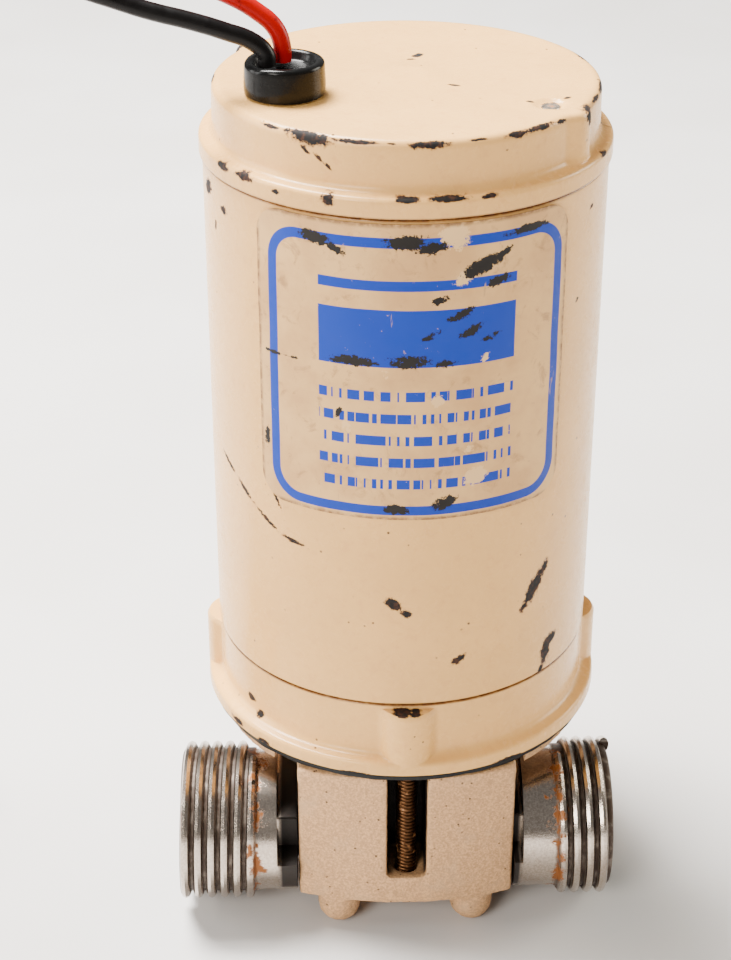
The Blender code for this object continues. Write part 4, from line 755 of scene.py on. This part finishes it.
LOW_MARKS = ((-145.2, 39.4, 1.6, 0.9, 0), (-140.6, 37.5, 1.4, 0.8, 20), (-147.0, 35.0, 2.4, 0.7, 0),
    (-134.4, 34.6, 2.4, 0.5, 0), (-92.0, 45.9, 1.8, 0.5, 0), (-88.0, 45.9, 1.2, 0.4, 0),
    (-60.0, 34.4, 3.4, 0.4, 0), (-105.0, 34.3, 3.0, 0.35, 0), (30.0, 36.0, 2.5, 0.7, 0),
    (140.0, 36.2, 2.5, 0.6, 0), (2.0, 34.6, 2.8, 1.0, 0))


class PUMP_OT_motor_can(bpy.types.Operator):
    """Roll the enamelled motor tube"""

    bl_idname = "pump.motor_can"
    bl_label = "Motor can"

    def execute(self, context):
        wall = 2.0 * MM
        outer, inner = CAN_RADIUS, CAN_RADIUS - wall
        profile = divided(rounded([(inner, CAN_LOW, 0.0), (outer, CAN_LOW, 0.35 * MM),
            (outer, CAN_HIGH, 0.35 * MM), (inner, CAN_HIGH, 0.0)]), 0.45 * MM)
        mesh = lathe(profile, context.scene.pump_sizes.round_steps)
        wear_field(mesh, CAN_MARKS)
        add_piece("enamelled_can", mesh, enamel_material("can_enamel"), ("motor_can",))
        return {"FINISHED"}


BOLT_TURNS = (-34.0, 146.0)
LUG_TURNS = (-90.0, 0.0, 90.0, 180.0)


class PUMP_OT_end_bells(bpy.types.Operator):
    """Cast the two end bells with their bosses and lugs"""

    bl_idname = "pump.end_bells"
    bl_label = "End bells"

    def execute(self, context):
        steps = context.scene.pump_sizes.round_steps
        self.top(steps)
        self.bottom(steps)
        return {"FINISHED"}

    @staticmethod
    def top(steps):
        """Stepped top bell: pilasters over the bolts, dished bolt ends, bearing dimple."""
        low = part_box("top_end_bell")[0].z
        seat = CAN_HIGH + 0.3 * MM
        step = seat + 3.0 * MM
        hub = 29.9 * MM
        spigot = CAN_RADIUS - 2.3 * MM
        roof = TOP_FACE - 2.6 * MM
        profile = rounded([(0.0, TOP_FACE + 0.45 * MM, 0), (3.0 * MM, TOP_FACE + 0.45 * MM, 0),
            (6.6 * MM, TOP_FACE + 0.1 * MM, 2.0 * MM), (9.0 * MM, TOP_FACE, 1.5 * MM),
            (27.0 * MM, TOP_FACE, 0), (hub - 0.1 * MM, TOP_FACE, 1.5 * MM),
            (hub, step + 0.4 * MM, 1.1 * MM), (32.0 * MM, step, 0.7 * MM), (32.0 * MM, seat, 0.25 * MM),
            (spigot, seat, 0), (spigot, low, 0), (spigot - 2.2 * MM, low, 0),
            (spigot - 2.2 * MM, roof, 1.0 * MM), (8.8 * MM, roof, 0), (8.8 * MM, roof - 7.3 * MM, 0),
            (6.3 * MM, roof - 7.3 * MM, 0), (6.3 * MM, roof, 0), (0.0, roof, 0)], 5)

        def shape(r, z, angle):
            """Swell the wall over each bolt and dish the face over each bolt end."""
            swell = boss_reach(angle, BOLT_TURNS, 27.6 * MM, 3.7 * MM)
            grown = soft_max(hub, swell, 0.9 * MM) - hub
            if z > step + 0.15 * MM and r > 24.0 * MM:
                share = smoothstep(26.0 * MM, 29.4 * MM, r)
                share *= smoothstep(step, step + 0.7 * MM, z)
                r += max(grown, 0.0) * share * smoothstep(33.0 * MM, 31.0 * MM, r)
            if z > TOP_FACE - 0.8 * MM:
                x, y = r * math.cos(angle), r * math.sin(angle)
                for turn in BOLT_TURNS:
                    bolt = math.radians(turn)
                    away = math.hypot(x - 25.0 * MM * math.cos(bolt), y - 25.0 * MM * math.sin(bolt))
                    z -= 0.55 * MM * smoothstep(2.6 * MM, 1.9 * MM, away)
            return r, z

        mesh = lathe(divided(profile, 0.55 * MM), steps, shape)
        wear_field(mesh, TOP_MARKS, FACE_MARKS)
        add_piece("top_bell_casting", mesh, enamel_material("top_enamel"),
            ("top_end_bell",))

    @staticmethod
    def bottom(steps):
        """Lower bell: flared flange and four upright lugs with flat tops."""
        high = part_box("bottom_end_bell")[1].z
        seat = CAN_LOW - 0.3 * MM
        wall = 31.3 * MM
        flange = FLANGE_SIZE
        lug_top = seat - 0.8 * MM
        spigot = CAN_RADIUS - 2.3 * MM
        shelf = FLANGE_LOW + 2.4 * MM
        floor = FLANGE_LOW + 4.5 * MM
        profile = rounded([(3.6 * MM, floor, 0), (spigot - 2.2 * MM, floor, 1.0 * MM),
            (spigot - 2.2 * MM, high, 0), (spigot, high, 0), (spigot, seat, 0), (wall, seat, 0.3 * MM),
            (wall, lug_top, 0), (wall, lug_top - 0.02 * MM, 0), (wall, shelf + 0.3 * MM, 1.3 * MM),
            (flange - 0.1 * MM, shelf - 0.2 * MM, 0.6 * MM), (flange, FLANGE_LOW, 0.25 * MM),
            (3.6 * MM, FLANGE_LOW, 0)], 5)

        def shape(r, z, angle):
            """Push the wall out into the lugs, under their tops."""
            if r < wall - 0.05 * MM or z > lug_top - 0.01 * MM or z < FLANGE_LOW + 1.5 * MM:
                return r, z
            swell = boss_reach(angle, LUG_TURNS, 28.85 * MM, 4.85 * MM)
            grown = soft_max(wall, swell, 0.8 * MM)
            edge = smoothstep(lug_top, lug_top - 0.5 * MM, z)
            grown -= 0.35 * MM * (1.0 - edge)
            return max(r, grown), z

        mesh = lathe(divided(profile, 0.6 * MM), steps, shape)
        wear_field(mesh, LOW_MARKS)
        add_piece("bottom_bell_casting", mesh, enamel_material("low_enamel"),
            ("bottom_end_bell",))


# ------------------------------------------------------------------ label
LABEL_MARKS = ((-116.5, 126.7, 3.6, 1.4, -14), (-110.5, 125.3, 2.4, 0.9, -30),
    (-92.0, 126.9, 4.4, 1.6, 0), (-85.0, 126.0, 3.4, 1.1, 8), (-58.0, 127.2, 5.2, 0.9, 4),
    (-71.8, 122.6, 4.4, 1.7, 22), (-67.0, 120.0, 3.4, 1.0, 15), (-66.0, 124.0, 2.6, 0.9, 30),
    (-83.0, 117.8, 2.6, 0.8, 18), (-77.0, 115.4, 3.0, 1.0, 20), (-74.0, 112.6, 3.0, 1.0, 24),
    (-68.5, 111.2, 2.4, 0.7, 10), (-85.0, 112.2, 2.2, 0.7, 20), (-106.0, 107.9, 5.4, 1.1, 0),
    (-91.0, 108.1, 4.6, 1.3, 3), (-81.5, 107.5, 2.6, 0.8, 10), (-130.0, 106.6, 2.8, 0.55, -6),
    (-122.0, 106.9, 2.6, 0.45, 8), (-80.5, 84.2, 2.8, 1.5, 20), (-94.0, 83.2, 2.6, 1.1, 0),
    (-110.0, 99.0, 1.2, 0.7, 60), (-133.0, 92.0, 0.8, 2.4, 0))
PEEL_MARKS = ((-79.5, 127.6, 2.8, 2.6, 0), (-76.0, 121.4, 2.6, 1.4, 40), (-72.1, 88.3, 2.6, 2.0, 20),
    (-97.3, 106.0, 0.9, 0.8, 0), (-108.0, 97.0, 1.8, 0.8, -50), (-74.0, 93.0, 1.2, 0.7, 0),
    (-83.0, 101.5, 1.4, 1.2, 0), (-70.0, 108.0, 1.2, 0.8, 30))


class PUMP_OT_label(bpy.types.Operator):
    """Wrap the printed rating label on the can"""

    bl_idname = "pump.label"
    bl_label = "Rating label"

    def execute(self, context):
        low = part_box("rating_label")[0]
        start, end = math.radians(-135.4), math.radians(-43.5)
        radius = CAN_RADIUS + 0.15 * MM
        width, height = (end - start) * radius, CAN_HIGH - 0.4 * MM - low.z
        corner = context.scene.pump_sizes.label_corner
        columns, rows = 72, 72
        bm = bmesh.new()
        chart = bm.loops.layers.uv.new("label")
        places = {}
        grid = []
        for j in range(rows + 1):
            share = 0.5 - 0.5 * math.cos(math.pi * j / rows)
            v = share * height
            inset = max(0.0, corner - min(v, height - v))
            half = width / 2 - (corner - math.sqrt(max(corner ** 2 - inset ** 2, 0.0)))
            line = []
            for i in range(columns + 1):
                u = width / 2 + half * (2 * i / columns - 1)
                angle = start + u / radius
                curl = 0.10 * MM * noise.noise(Vector((u * 160, v * 160, 5.0)))
                skin = radius + 0.12 * MM + max(-0.05 * MM, curl)
                vert = bm.verts.new((AXIS_X + skin * math.cos(angle), skin * math.sin(angle), low.z + v))
                places[vert] = (u / width, v / height)
                line.append(vert)
            grid.append(line)
        for j in range(rows):
            for i in range(columns):
                corners = (grid[j][i], grid[j][i + 1], grid[j + 1][i + 1], grid[j + 1][i])
                bm.faces.new(corners)
        bmesh.ops.recalc_face_normals(bm, faces=bm.faces)
        for face in bm.faces:
            for loop in face.loops:
                loop[chart].uv = places[loop.vert]
        mesh = bpy.data.meshes.new("label")
        bm.to_mesh(mesh)
        bm.free()
        sheet = linked("label_sheet", mesh)
        thick = sheet.modifiers.new("Thickness", "SOLIDIFY")
        thick.thickness = 0.12 * MM
        thick.offset = -1.0
        solid = evaluated_mesh(sheet)
        bpy.data.objects.remove(sheet)
        wear_field(solid, LABEL_MARKS)
        wear_field(solid, PEEL_MARKS, field="peeled")
        add_piece("printed_label", solid, self.material(context, width, height),
            ("rating_label",))
        return {"FINISHED"}

    @staticmethod
    def material(context, width, height):
        """Pale film, blue border, one plain panel and even rows, with black scuffs."""
        p = Paint("label_print")
        chart = p.nodes.new("ShaderNodeUVMap")
        chart.uv_map = "label"
        x = p.times(p.less(p.axis("X", chart.outputs[0]), 0.5), width / MM)
        y = p.times(p.less(p.axis("Y", chart.outputs[0]), 0.5), height / MM)

        def bar(cx, cy, half_x, half_y):
            """One where an upright bar covers the point."""
            dx = p.less(p.magnitude(p.less(x, cx)), half_x)
            dy = p.less(p.magnitude(p.less(y, cy)), half_y)
            return p.span(p.most(dx, dy), 0.04, -0.04)

        def frame_line(cx, cy, half_x, half_y, line, corner):
            """One on a line round a rounded rectangle."""
            qx = p.less(p.magnitude(p.less(x, cx)), half_x - corner)
            qy = p.less(p.magnitude(p.less(y, cy)), half_y - corner)
            ax, ay = p.most(qx, 0.0), p.most(qy, 0.0)
            out = p.square_root(p.plus(p.times(ax, ax), p.times(ay, ay)))
            inside = p.least(p.most(qx, qy), 0.0)
            edge = p.magnitude(p.less(p.plus(out, inside), corner))
            return p.span(edge, line / 2 + 0.05, line / 2 - 0.05)

        def dashes(cx, cy, half_x, half_y, pitch):
            """A row of short blocks of uneven width."""
            inside = bar(cx, cy, half_x, half_y)
            column = p.sums("FLOOR", p.over(x, pitch))
            seed = p.nodes.new("ShaderNodeTexWhiteNoise")
            seed.noise_dimensions = "1D"
            p.feed(seed.inputs["W"], p.plus(column, cy * 3.7))
            part = p.sums("FRACT", p.over(x, pitch))
            shown = p.sums("LESS_THAN", part, p.span(seed.outputs["Value"], 0.1, 0.9, 0.2, 1.2))
            return p.times(inside, shown)

        ink = frame_line(0.5, -0.65, 22.9, 21.9, 1.6, 4.6)
        line_heights = (-3.2, -6.9, -10.6, -14.3, -18.0)
        blocks = [bar(0.5, 14.6, 15.0, 0.8), bar(0.5, 6.2, 15.0, 4.6),
            *(dashes(0.5, height, 15.0, 0.8, 1.25) for height in line_heights)]
        for block in blocks:
            ink = p.most(ink, block)
        scuffs = p.noise(1.3 * MM, 6.0, 0.7)
        ragged = p.times(p.less(p.noise(0.9 * MM, 7.0, 0.75), 0.5), 2.0)
        peeled = p.span(p.plus(p.attribute("peeled"), ragged), 0.2, 0.32)
        ink = p.times(ink, p.span(scuffs, 0.27, 0.33))
        ink = p.times(ink, p.less(1.0, peeled))
        tint = p.noise(9 * MM, 4.0)
        ground = p.mix(p.span(tint, 0.35, 0.7), (0.62, 0.37, 0.145), (0.50, 0.28, 0.11))
        stains = p.noise(3.2 * MM, 6.0, 0.7, distortion=0.7)
        ground = p.mix(p.span(stains, 0.54, 0.72, 0.0, 0.6), ground, (0.24, 0.12, 0.05))
        ground = p.mix(peeled, ground, (0.66, 0.42, 0.19))
        colour = p.mix(ink, ground, tuple(context.scene.pump_colours.print_blue))
        edge_x = p.less(width / MM / 2, p.magnitude(x))
        edge_y = p.less(height / MM / 2, p.magnitude(y))
        rim = p.span(p.least(edge_x, edge_y), 0.8, 0.1)
        colour = p.mix(p.times(rim, p.span(scuffs, 0.35, 0.6, 0.2, 0.9)), colour, (0.15, 0.07, 0.025))
        black = p.span(p.plus(p.attribute("worn"), ragged), 0.24, 0.34)
        colour = p.mix(black, colour, (0.006, 0.004, 0.003))
        scratches = p.noise(1.0 * MM, 3.0, vector=p.place((1.0, 1.0, 0.12), turn=(0.5, 0.4, 0)))
        colour = p.mix(p.span(scratches, 0.70, 0.74, 0.0, 0.7), colour, (0.40, 0.24, 0.11))
        return p.done(Base_Color=colour, Specular_IOR_Level=0.2,
            Roughness=p.span(scuffs, 0.3, 0.7, 0.30, 0.5),
            Normal=p.bump(p.less(scuffs, black), 0.3, 0.05 * MM))


# ------------------------------------------------------------------ pump head
class PUMP_OT_head(bpy.types.Operator):
    """Give the cast head its rounded edges and sandy skin"""

    bl_idname = "pump.head"
    bl_label = "Pump head"

    def execute(self, context):
        self.recast("pump_body", "head_casting", 0.42 * MM, 0.07 * MM)
        self.gasket(context)
        return {"FINISHED"}

    @staticmethod
    def recast(node, name, voxel, rough):
        """A softened copy of a frame casting, with a sandy skin."""
        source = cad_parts[node]
        copy = source.data.copy()
        bm = bmesh.new()
        bm.from_mesh(copy)
        bmesh.ops.remove_doubles(bm, verts=bm.verts, dist=0.001 * MM)
        bm.to_mesh(copy)
        bm.free()
        blank = linked(name + "_blank", copy)
        voxels = blank.modifiers.new("Voxels", "REMESH")
        voxels.mode = "VOXEL"
        voxels.voxel_size = voxel
        soften = blank.modifiers.new("Soften", "SMOOTH")
        soften.factor = 0.5
        soften.iterations = 3
        mesh = evaluated_mesh(blank)
        bpy.data.objects.remove(blank)
        shifts = []
        for vertex in mesh.vertices:
            lumps = noise.noise(vertex.co * 900.0) + 0.6 * noise.noise(vertex.co * 2100.0)
            shifts.append(vertex.co + vertex.normal * lumps * rough)
        for vertex, place in zip(mesh.vertices, shifts):
            vertex.co = place

        def inside(co):
            """Where black shade is painted: the slot and the flanks beside the necks."""
            x, y, z = abs(co.x - AXIS_X) / MM, co.y / MM, co.z / MM
            slot = smoothstep(4.0, 3.4, x) * smoothstep(-32.0, -30.6, y)
            slot *= smoothstep(11.6, 12.4, z) * smoothstep(-21.5, -22.5, y)
            flank = smoothstep(17.9, 18.1, x) * smoothstep(30.3, 29.5, z)
            return max(slot, flank * smoothstep(-3.0, -9.0, y))

        # the recess field carries painted black shade into the cast material
        painted_shade_field(mesh, inside)
        add_piece(name, mesh, cast_material(), (node,))

    @staticmethod
    def gasket(context):
        """Black gasket that squeezes out a little under the flange."""
        low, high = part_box("flange_gasket")
        outer, bore = high.y, 12.0 * MM

        def shape(r, z, angle):
            """Let the outer edge wander."""
            if r < outer - 1.0 * MM:
                return r, z
            wander = noise.noise(Vector((math.cos(angle) * 9, math.sin(angle) * 9, 1.0)))
            return r + 0.25 * MM * wander, z

        profile = divided(rounded([(bore, low.z, 0), (outer, low.z, 0.3 * MM), (outer, high.z, 0.3 * MM),
            (bore, high.z, 0)]), 2.0 * MM)
        mesh = lathe(profile, context.scene.pump_sizes.round_steps, shape)
        add_piece("squeezed_gasket", mesh, rubber_material("gasket_rubber", (0.012,) * 3, 0.4),
            ("flange_gasket",))


# ------------------------------------------------------------------ geometry nodes
class Tree:
    """A small builder for one Geometry Nodes tree."""

    def __init__(self, name, *inputs):
        self.group = bpy.data.node_groups.new(name, "GeometryNodeTree")
        face = self.group.interface
        face.new_socket(name="Geometry", in_out="INPUT", socket_type="NodeSocketGeometry")
        for title in inputs:
            face.new_socket(name=title, in_out="INPUT", socket_type="NodeSocketFloat")
        face.new_socket(name="Geometry", in_out="OUTPUT", socket_type="NodeSocketGeometry")
        self.entry = self.group.nodes.new("NodeGroupInput")
        self.exit = self.group.nodes.new("NodeGroupOutput")

    def add(self, kind, links=None, out=0, **settings):
        """Add a node, feed its inputs by name or index, and return one output."""
        node = self.group.nodes.new(kind)
        for name, value in settings.items():
            setattr(node, name, value)
        for key, value in (links or {}).items():
            socket = node.inputs[key]
            for item in value if isinstance(value, list) else [value]:
                if isinstance(item, bpy.types.NodeSocket):
                    self.group.links.new(item, socket)
                else:
                    socket.default_value = item
        return node.outputs[out]

    def sums(self, operation, a, b):
        """One math node."""
        return self.add("ShaderNodeMath", {0: a, 1: b}, operation=operation)

    def named(self, title):
        """A socket of the group's own input."""
        return self.entry.outputs[title]

    def ridge(self, radius, height, pitch, depth, half_width, steps, taper):
        """A helical ridge round Z with tapered ends, from z = 0 up."""
        turns = self.sums("DIVIDE", height, pitch)
        helix = self.add("GeometryNodeCurveSpiral", {"Resolution": steps, "Rotations": turns,
            "Start Radius": radius, "End Radius": radius, "Height": height})
        upright = self.add("GeometryNodeSetCurveNormal", {"Curve": helix}, mode="Z_UP")
        along = self.add("GeometryNodeSplineParameter")
        rise = self.add("ShaderNodeMapRange", {"Value": along, "From Min": 0.0, "From Max": taper,
            "To Min": 0.15})
        fall = self.add("ShaderNodeMapRange", {"Value": along, "From Min": 1.0, "From Max": 1.0 - taper,
            "To Min": 0.15})
        size = self.sums("MINIMUM", rise, fall)
        sized = self.add("GeometryNodeSetCurveRadius", {"Curve": upright, "Radius": size})
        ring = self.add("GeometryNodeCurvePrimitiveCircle", {"Resolution": 10, "Radius": 1.0})
        scale = self.add("ShaderNodeCombineXYZ", {"X": depth, "Y": half_width, "Z": 1.0})
        section = self.add("GeometryNodeTransform", {"Geometry": ring, "Scale": scale})
        links = {"Curve": sized, "Profile Curve": section, "Fill Caps": True}
        tool = self.add("GeometryNodeCurveToMesh", links)
        return tool

    def finish(self, geometry, material):
        """End the tree: real geometry, smooth, with its material."""
        real = self.add("GeometryNodeRealizeInstances", {"Geometry": geometry})
        done = self.add("GeometryNodeSetMaterial", {"Geometry": real, "Material": material})
        self.group.links.new(done, self.exit.inputs[0])
        return self.group


def run_tree(name, group, mesh, values):
    """Run a tree on a mesh with the given input values and return the plain result."""
    obj = linked(name + "_blank", mesh)
    modifier = obj.modifiers.new("Nodes", "NODES")
    modifier.node_group = group
    for item in group.interface.items_tree:
        if item.in_out == "INPUT" and item.name in values:
            modifier[item.identifier] = values[item.name]
    result = evaluated_mesh(obj)
    bpy.data.objects.remove(obj)
    return result


def thread_tree(material):
    """Tree that winds a hose thread round whatever body it is given."""
    tree = Tree("hose_thread", "Radius", "Length", "Pitch", "Depth", "Start")
    half = tree.sums("MULTIPLY", tree.named("Pitch"), 0.40)
    ridge = tree.ridge(tree.named("Radius"), tree.named("Length"), tree.named("Pitch"),
        tree.named("Depth"), half, 72, 0.08)
    lift = tree.add("ShaderNodeCombineXYZ", {"Z": tree.named("Start")})
    placed = tree.add("GeometryNodeTransform", {"Geometry": ridge, "Translation": lift})
    whole = tree.add("GeometryNodeJoinGeometry", {0: [tree.named("Geometry"), placed]})
    return tree.finish(whole, material)


def screw_tree(material):
    """Tree that stands a threaded screw, head down, on every point it is given."""
    tree = Tree("machine_screw", "Radius", "Length", "Pitch", "Head Radius", "Head Height")
    depth = tree.sums("MULTIPLY", tree.named("Radius"), 0.14)
    root = tree.sums("SUBTRACT", tree.named("Radius"), depth)
    half = tree.sums("MULTIPLY", tree.named("Pitch"), 0.42)
    ridge = tree.ridge(root, tree.named("Length"), tree.named("Pitch"), depth, half, 24, 0.03)
    shank = tree.add("GeometryNodeMeshCylinder", {"Vertices": 24, "Radius": root,
        "Depth": tree.named("Length")})
    middle_z = tree.sums("MULTIPLY", tree.named("Length"), 0.5)
    shank = tree.add("GeometryNodeTransform", {"Geometry": shank,
        "Translation": tree.add("ShaderNodeCombineXYZ", {"Z": middle_z})})
    drop = tree.sums("MULTIPLY", tree.named("Head Height"), -1.0)
    head = tree.add("GeometryNodeMeshCone", {"Vertices": 32, "Radius Top": tree.named("Head Radius"),
        "Radius Bottom": tree.sums("MULTIPLY", tree.named("Head Radius"), 0.82),
        "Depth": tree.named("Head Height")})
    head = tree.add("GeometryNodeTransform", {"Geometry": head,
        "Translation": tree.add("ShaderNodeCombineXYZ", {"Z": drop})})
    screw = tree.add("GeometryNodeJoinGeometry", {0: [ridge, shank, head]})
    points = tree.add("GeometryNodeMeshToPoints", {"Mesh": tree.named("Geometry")})
    stood = tree.add("GeometryNodeInstanceOnPoints", {"Points": points, "Instance": screw})
    return tree.finish(stood, material)


class PUMP_OT_ports(bpy.types.Operator):
    """Turn the two hose ports and wind their threads"""

    bl_idname = "pump.ports"
    bl_label = "Hose ports"

    def execute(self, context):
        material = plated_material()
        group = thread_tree(material)
        for node, side in (("left_port", -1.0), ("right_port", 1.0)):
            self.port(context, node, side, group, material)
        return {"FINISHED"}

    @staticmethod
    def port(context, node, side, group, material):
        """One nipple: bore, threaded end, notched neck and spigot."""
        sizes = context.scene.pump_sizes
        low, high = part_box(node)
        tip = (high.x - AXIS_X) if side > 0 else (AXIS_X - low.x)
        inner_end = (low.x - AXIS_X) if side > 0 else (AXIS_X - high.x)
        seat = inner_end + 4.9 * MM
        length = 12.5 * MM if side < 0 else 9.2 * MM
        start = tip - length
        neck_end = 21.8 * MM if side < 0 else 19.8 * MM
        root = (high.z - low.z) / 2 - sizes.thread_depth
        profile = rounded([(5.0 * MM, inner_end, 0), (5.0 * MM, seat + 1.0 * MM, 0),
            (8.8 * MM, seat + 4.0 * MM, 0.5 * MM), (8.8 * MM, tip, 0.4 * MM),
            (root - 0.3 * MM, tip, 0.5 * MM), (root, tip - 0.8 * MM, 0), (root, start, 0.1 * MM),
            (12.05 * MM, start - 0.1 * MM, 0.1 * MM), (12.05 * MM, neck_end + 0.01 * MM, 0),
            (12.05 * MM, neck_end, 0), (12.05 * MM, seat, 0.0), (6.6 * MM, seat, 0),
            (6.6 * MM, inner_end, 0)], 4)

        def shape(r, z, angle):
            """Cut the neck back to the spigot's height beside the block."""
            if seat - 0.01 * MM <= z <= neck_end + 0.005 * MM and r > 7.0 * MM:
                across, up = math.sin(angle) * r, math.cos(angle) * r
                if up > 7.2 * MM:
                    r *= 7.2 * MM / up
                elif up > -0.8 * MM and across < -7.2 * MM:
                    r *= 7.2 * MM / -across
            return r, z

        mesh = lathe(divided(profile, 1.0 * MM), 160, shape, (0.0, 0.0))
        result = run_tree(node, group, mesh, {"Radius": root, "Length": length - 0.5 * MM,
            "Pitch": sizes.thread_pitch, "Depth": sizes.thread_depth - 0.02 * MM,
            "Start": start + 0.3 * MM})

        def inside(co):
            """Painted shade in the notch between the block and the neck."""
            deep = smoothstep(neck_end + 0.1 * MM, neck_end - 0.3 * MM, co.z)
            return deep * smoothstep(-9.0 * MM, -7.0 * MM, co.x)

        painted_shade_field(result, inside)
        lay = Matrix(((0, 0, side, AXIS_X), (0, 1, 0, PORT_Y), (1, 0, 0, PORT_Z), (0, 0, 0, 1)))
        result.transform(lay)
        if lay.determinant() < 0:
            result.flip_normals()
        add_piece(node + "_nipple", result, material, (node,))


class PUMP_OT_screws(bpy.types.Operator):
    """Stand the head screws and the cover screws in their holes"""

    bl_idname = "pump.screws"
    bl_label = "Screws"

    def execute(self, context):
        # The front screw's bronze tint is darkened further as painted shade of the slot it stands in.
        front = steel_material("shaded_bronzed_steel", (0.085, 0.038, 0.016), 0.6)
        dull = steel_material("dull_steel", (0.42, 0.38, 0.33), 0.5)
        groups = {front: screw_tree(front), dull: screw_tree(dull)}
        sets = (("front_screw", ("head_screw_front",), front, 1.75, 3.0, 2.2, 0.7),
            ("head_screws", ("head_screw_left", "head_screw_right", "head_screw_rear"), dull, 1.75, 3.0,
            2.2, 0.7), ("cover_screws", ("cover_screw_front", "cover_screw_left", "cover_screw_right"),
            dull, 1.5, 2.8, 1.8, 0.6),)
        for name, nodes, material, radius, head, head_height, pitch in sets:
            low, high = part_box(nodes[0])
            mesh = bpy.data.meshes.new(name)
            seats = []
            for node in nodes:
                low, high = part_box(node)
                seats.append((middle(node).x, middle(node).y, low.z + head_height * MM))
            mesh.from_pydata(seats, [], [])
            result = run_tree(name, groups[material], mesh,
                {"Radius": radius * MM, "Length": high.z - low.z - head_height * MM, "Pitch": pitch * MM,
                "Head Radius": head * MM, "Head Height": head_height * MM})
            add_piece(name, result, material, nodes)
        return {"FINISHED"}


class PUMP_OT_inner_finishes(bpy.types.Operator):
    """Finish the frame pieces that are kept as they are"""

    bl_idname = "pump.inner_finishes"
    bl_label = "Inner finishes"

    def execute(self, context):
        steel = steel_material("through_bolt_steel", (0.40, 0.37, 0.33), 0.8)
        black = rubber_material("inner_rubber", (0.014,) * 3, 0.45)
        casting = cast_material()
        bronze = plain_worn_material("sintered_bronze", (0.50, 0.33, 0.17), 0.9, 0.4)
        copper = plain_worn_material("enamelled_copper", (0.62, 0.27, 0.12), 0.8, 0.3)
        ground = plain_worn_material("ground_steel_shaft", (0.56, 0.56, 0.55), 1.0, 0.2)
        board = plain_worn_material("laminated_board", (0.32, 0.18, 0.09), 0.0, 0.6)
        ferrite = plain_worn_material("ferrite_ceramic", (0.07, 0.07, 0.075), 0.0, 0.7)
        carbon = plain_worn_material("pressed_carbon", (0.04, 0.04, 0.042), 0.1, 0.5)
        paper = plain_worn_material("gasket_fibre", (0.24, 0.20, 0.16), 0.0, 0.8)
        core = plain_worn_material("laminated_core", (0.24, 0.24, 0.25), 0.9, 0.4)
        tie = rubber_material("tie_nylon", (0.02, 0.02, 0.02), 0.35)
        red = vinyl_material("terminal_red", (0.22, 0.003, 0.002), 0.3)
        finishes = {steel: ("through_bolt_left", "through_bolt_right"),
            black: ("left_port_ring", "right_port_ring", "shaft_seal", "water_slinger", "impeller"),
            casting: ("pump_cover",), bronze: ("top_bush", "bottom_bush", "brush_holder_left",
            "brush_holder_right", "cam"), copper: ("winding_top", "winding_bottom", "commutator"),
            ground: ("rotor_shaft", "wear_plate", "brush_spring_left", "brush_spring_right"),
            board: ("brush_card", "top_thrust_washer", "bottom_thrust_washer"),
            ferrite: ("magnet_left", "magnet_right"), carbon: ("brush_left", "brush_right"),
            paper: ("cover_gasket",), core: ("armature_core",), tie: ("coil_tie", "black_terminal"),
            red: ("red_terminal",),}
        for material, names in finishes.items():
            for name in names:
                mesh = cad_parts[name].data
                for index in range(len(mesh.materials)):
                    mesh.materials[index] = material
                if not mesh.materials:
                    mesh.materials.append(material)
        return {"FINISHED"}


# ------------------------------------------------------------------ panel and registry
OPERATORS = (PUMP_OT_camera, PUMP_OT_leads, PUMP_OT_lead_fittings, PUMP_OT_motor_can, PUMP_OT_end_bells,
    PUMP_OT_label, PUMP_OT_head, PUMP_OT_ports, PUMP_OT_screws, PUMP_OT_inner_finishes, PUMP_OT_stage)


class VIEW3D_PT_pump(bpy.types.Panel):
    """Buttons for every piece of the pump"""

    bl_idname = "VIEW3D_PT_pump"
    bl_label = "Bilge pump"
    bl_space_type = "VIEW_3D"
    bl_region_type = "UI"
    bl_category = "Bilge pump"

    def draw(self, context):
        column = self.layout.column()
        for operator in OPERATORS:
            column.operator(operator.bl_idname)


SETTINGS = (("pump_sizes", PumpSizes), ("pump_colours", PumpColours), ("pump_stage", PumpStage))


def register():
    """Register every class and hang the settings on the scene."""
    for name, group in SETTINGS:
        bpy.utils.register_class(group)
        setattr(bpy.types.Scene, name, PointerProperty(type=group))
    for item in (*OPERATORS, VIEW3D_PT_pump):
        bpy.utils.register_class(item)


def unregister():
    """Undo register()."""
    for item in reversed((*OPERATORS, VIEW3D_PT_pump)):
        bpy.utils.unregister_class(item)
    for name, group in reversed(SETTINGS):
        delattr(bpy.types.Scene, name)
        bpy.utils.unregister_class(group)


def main():
    """Make every piece in order."""
    register()
    for operator in OPERATORS:
        family, _, name = operator.bl_idname.partition(".")
        getattr(getattr(bpy.ops, family), name)()


if __name__ == "__main__":
    main()
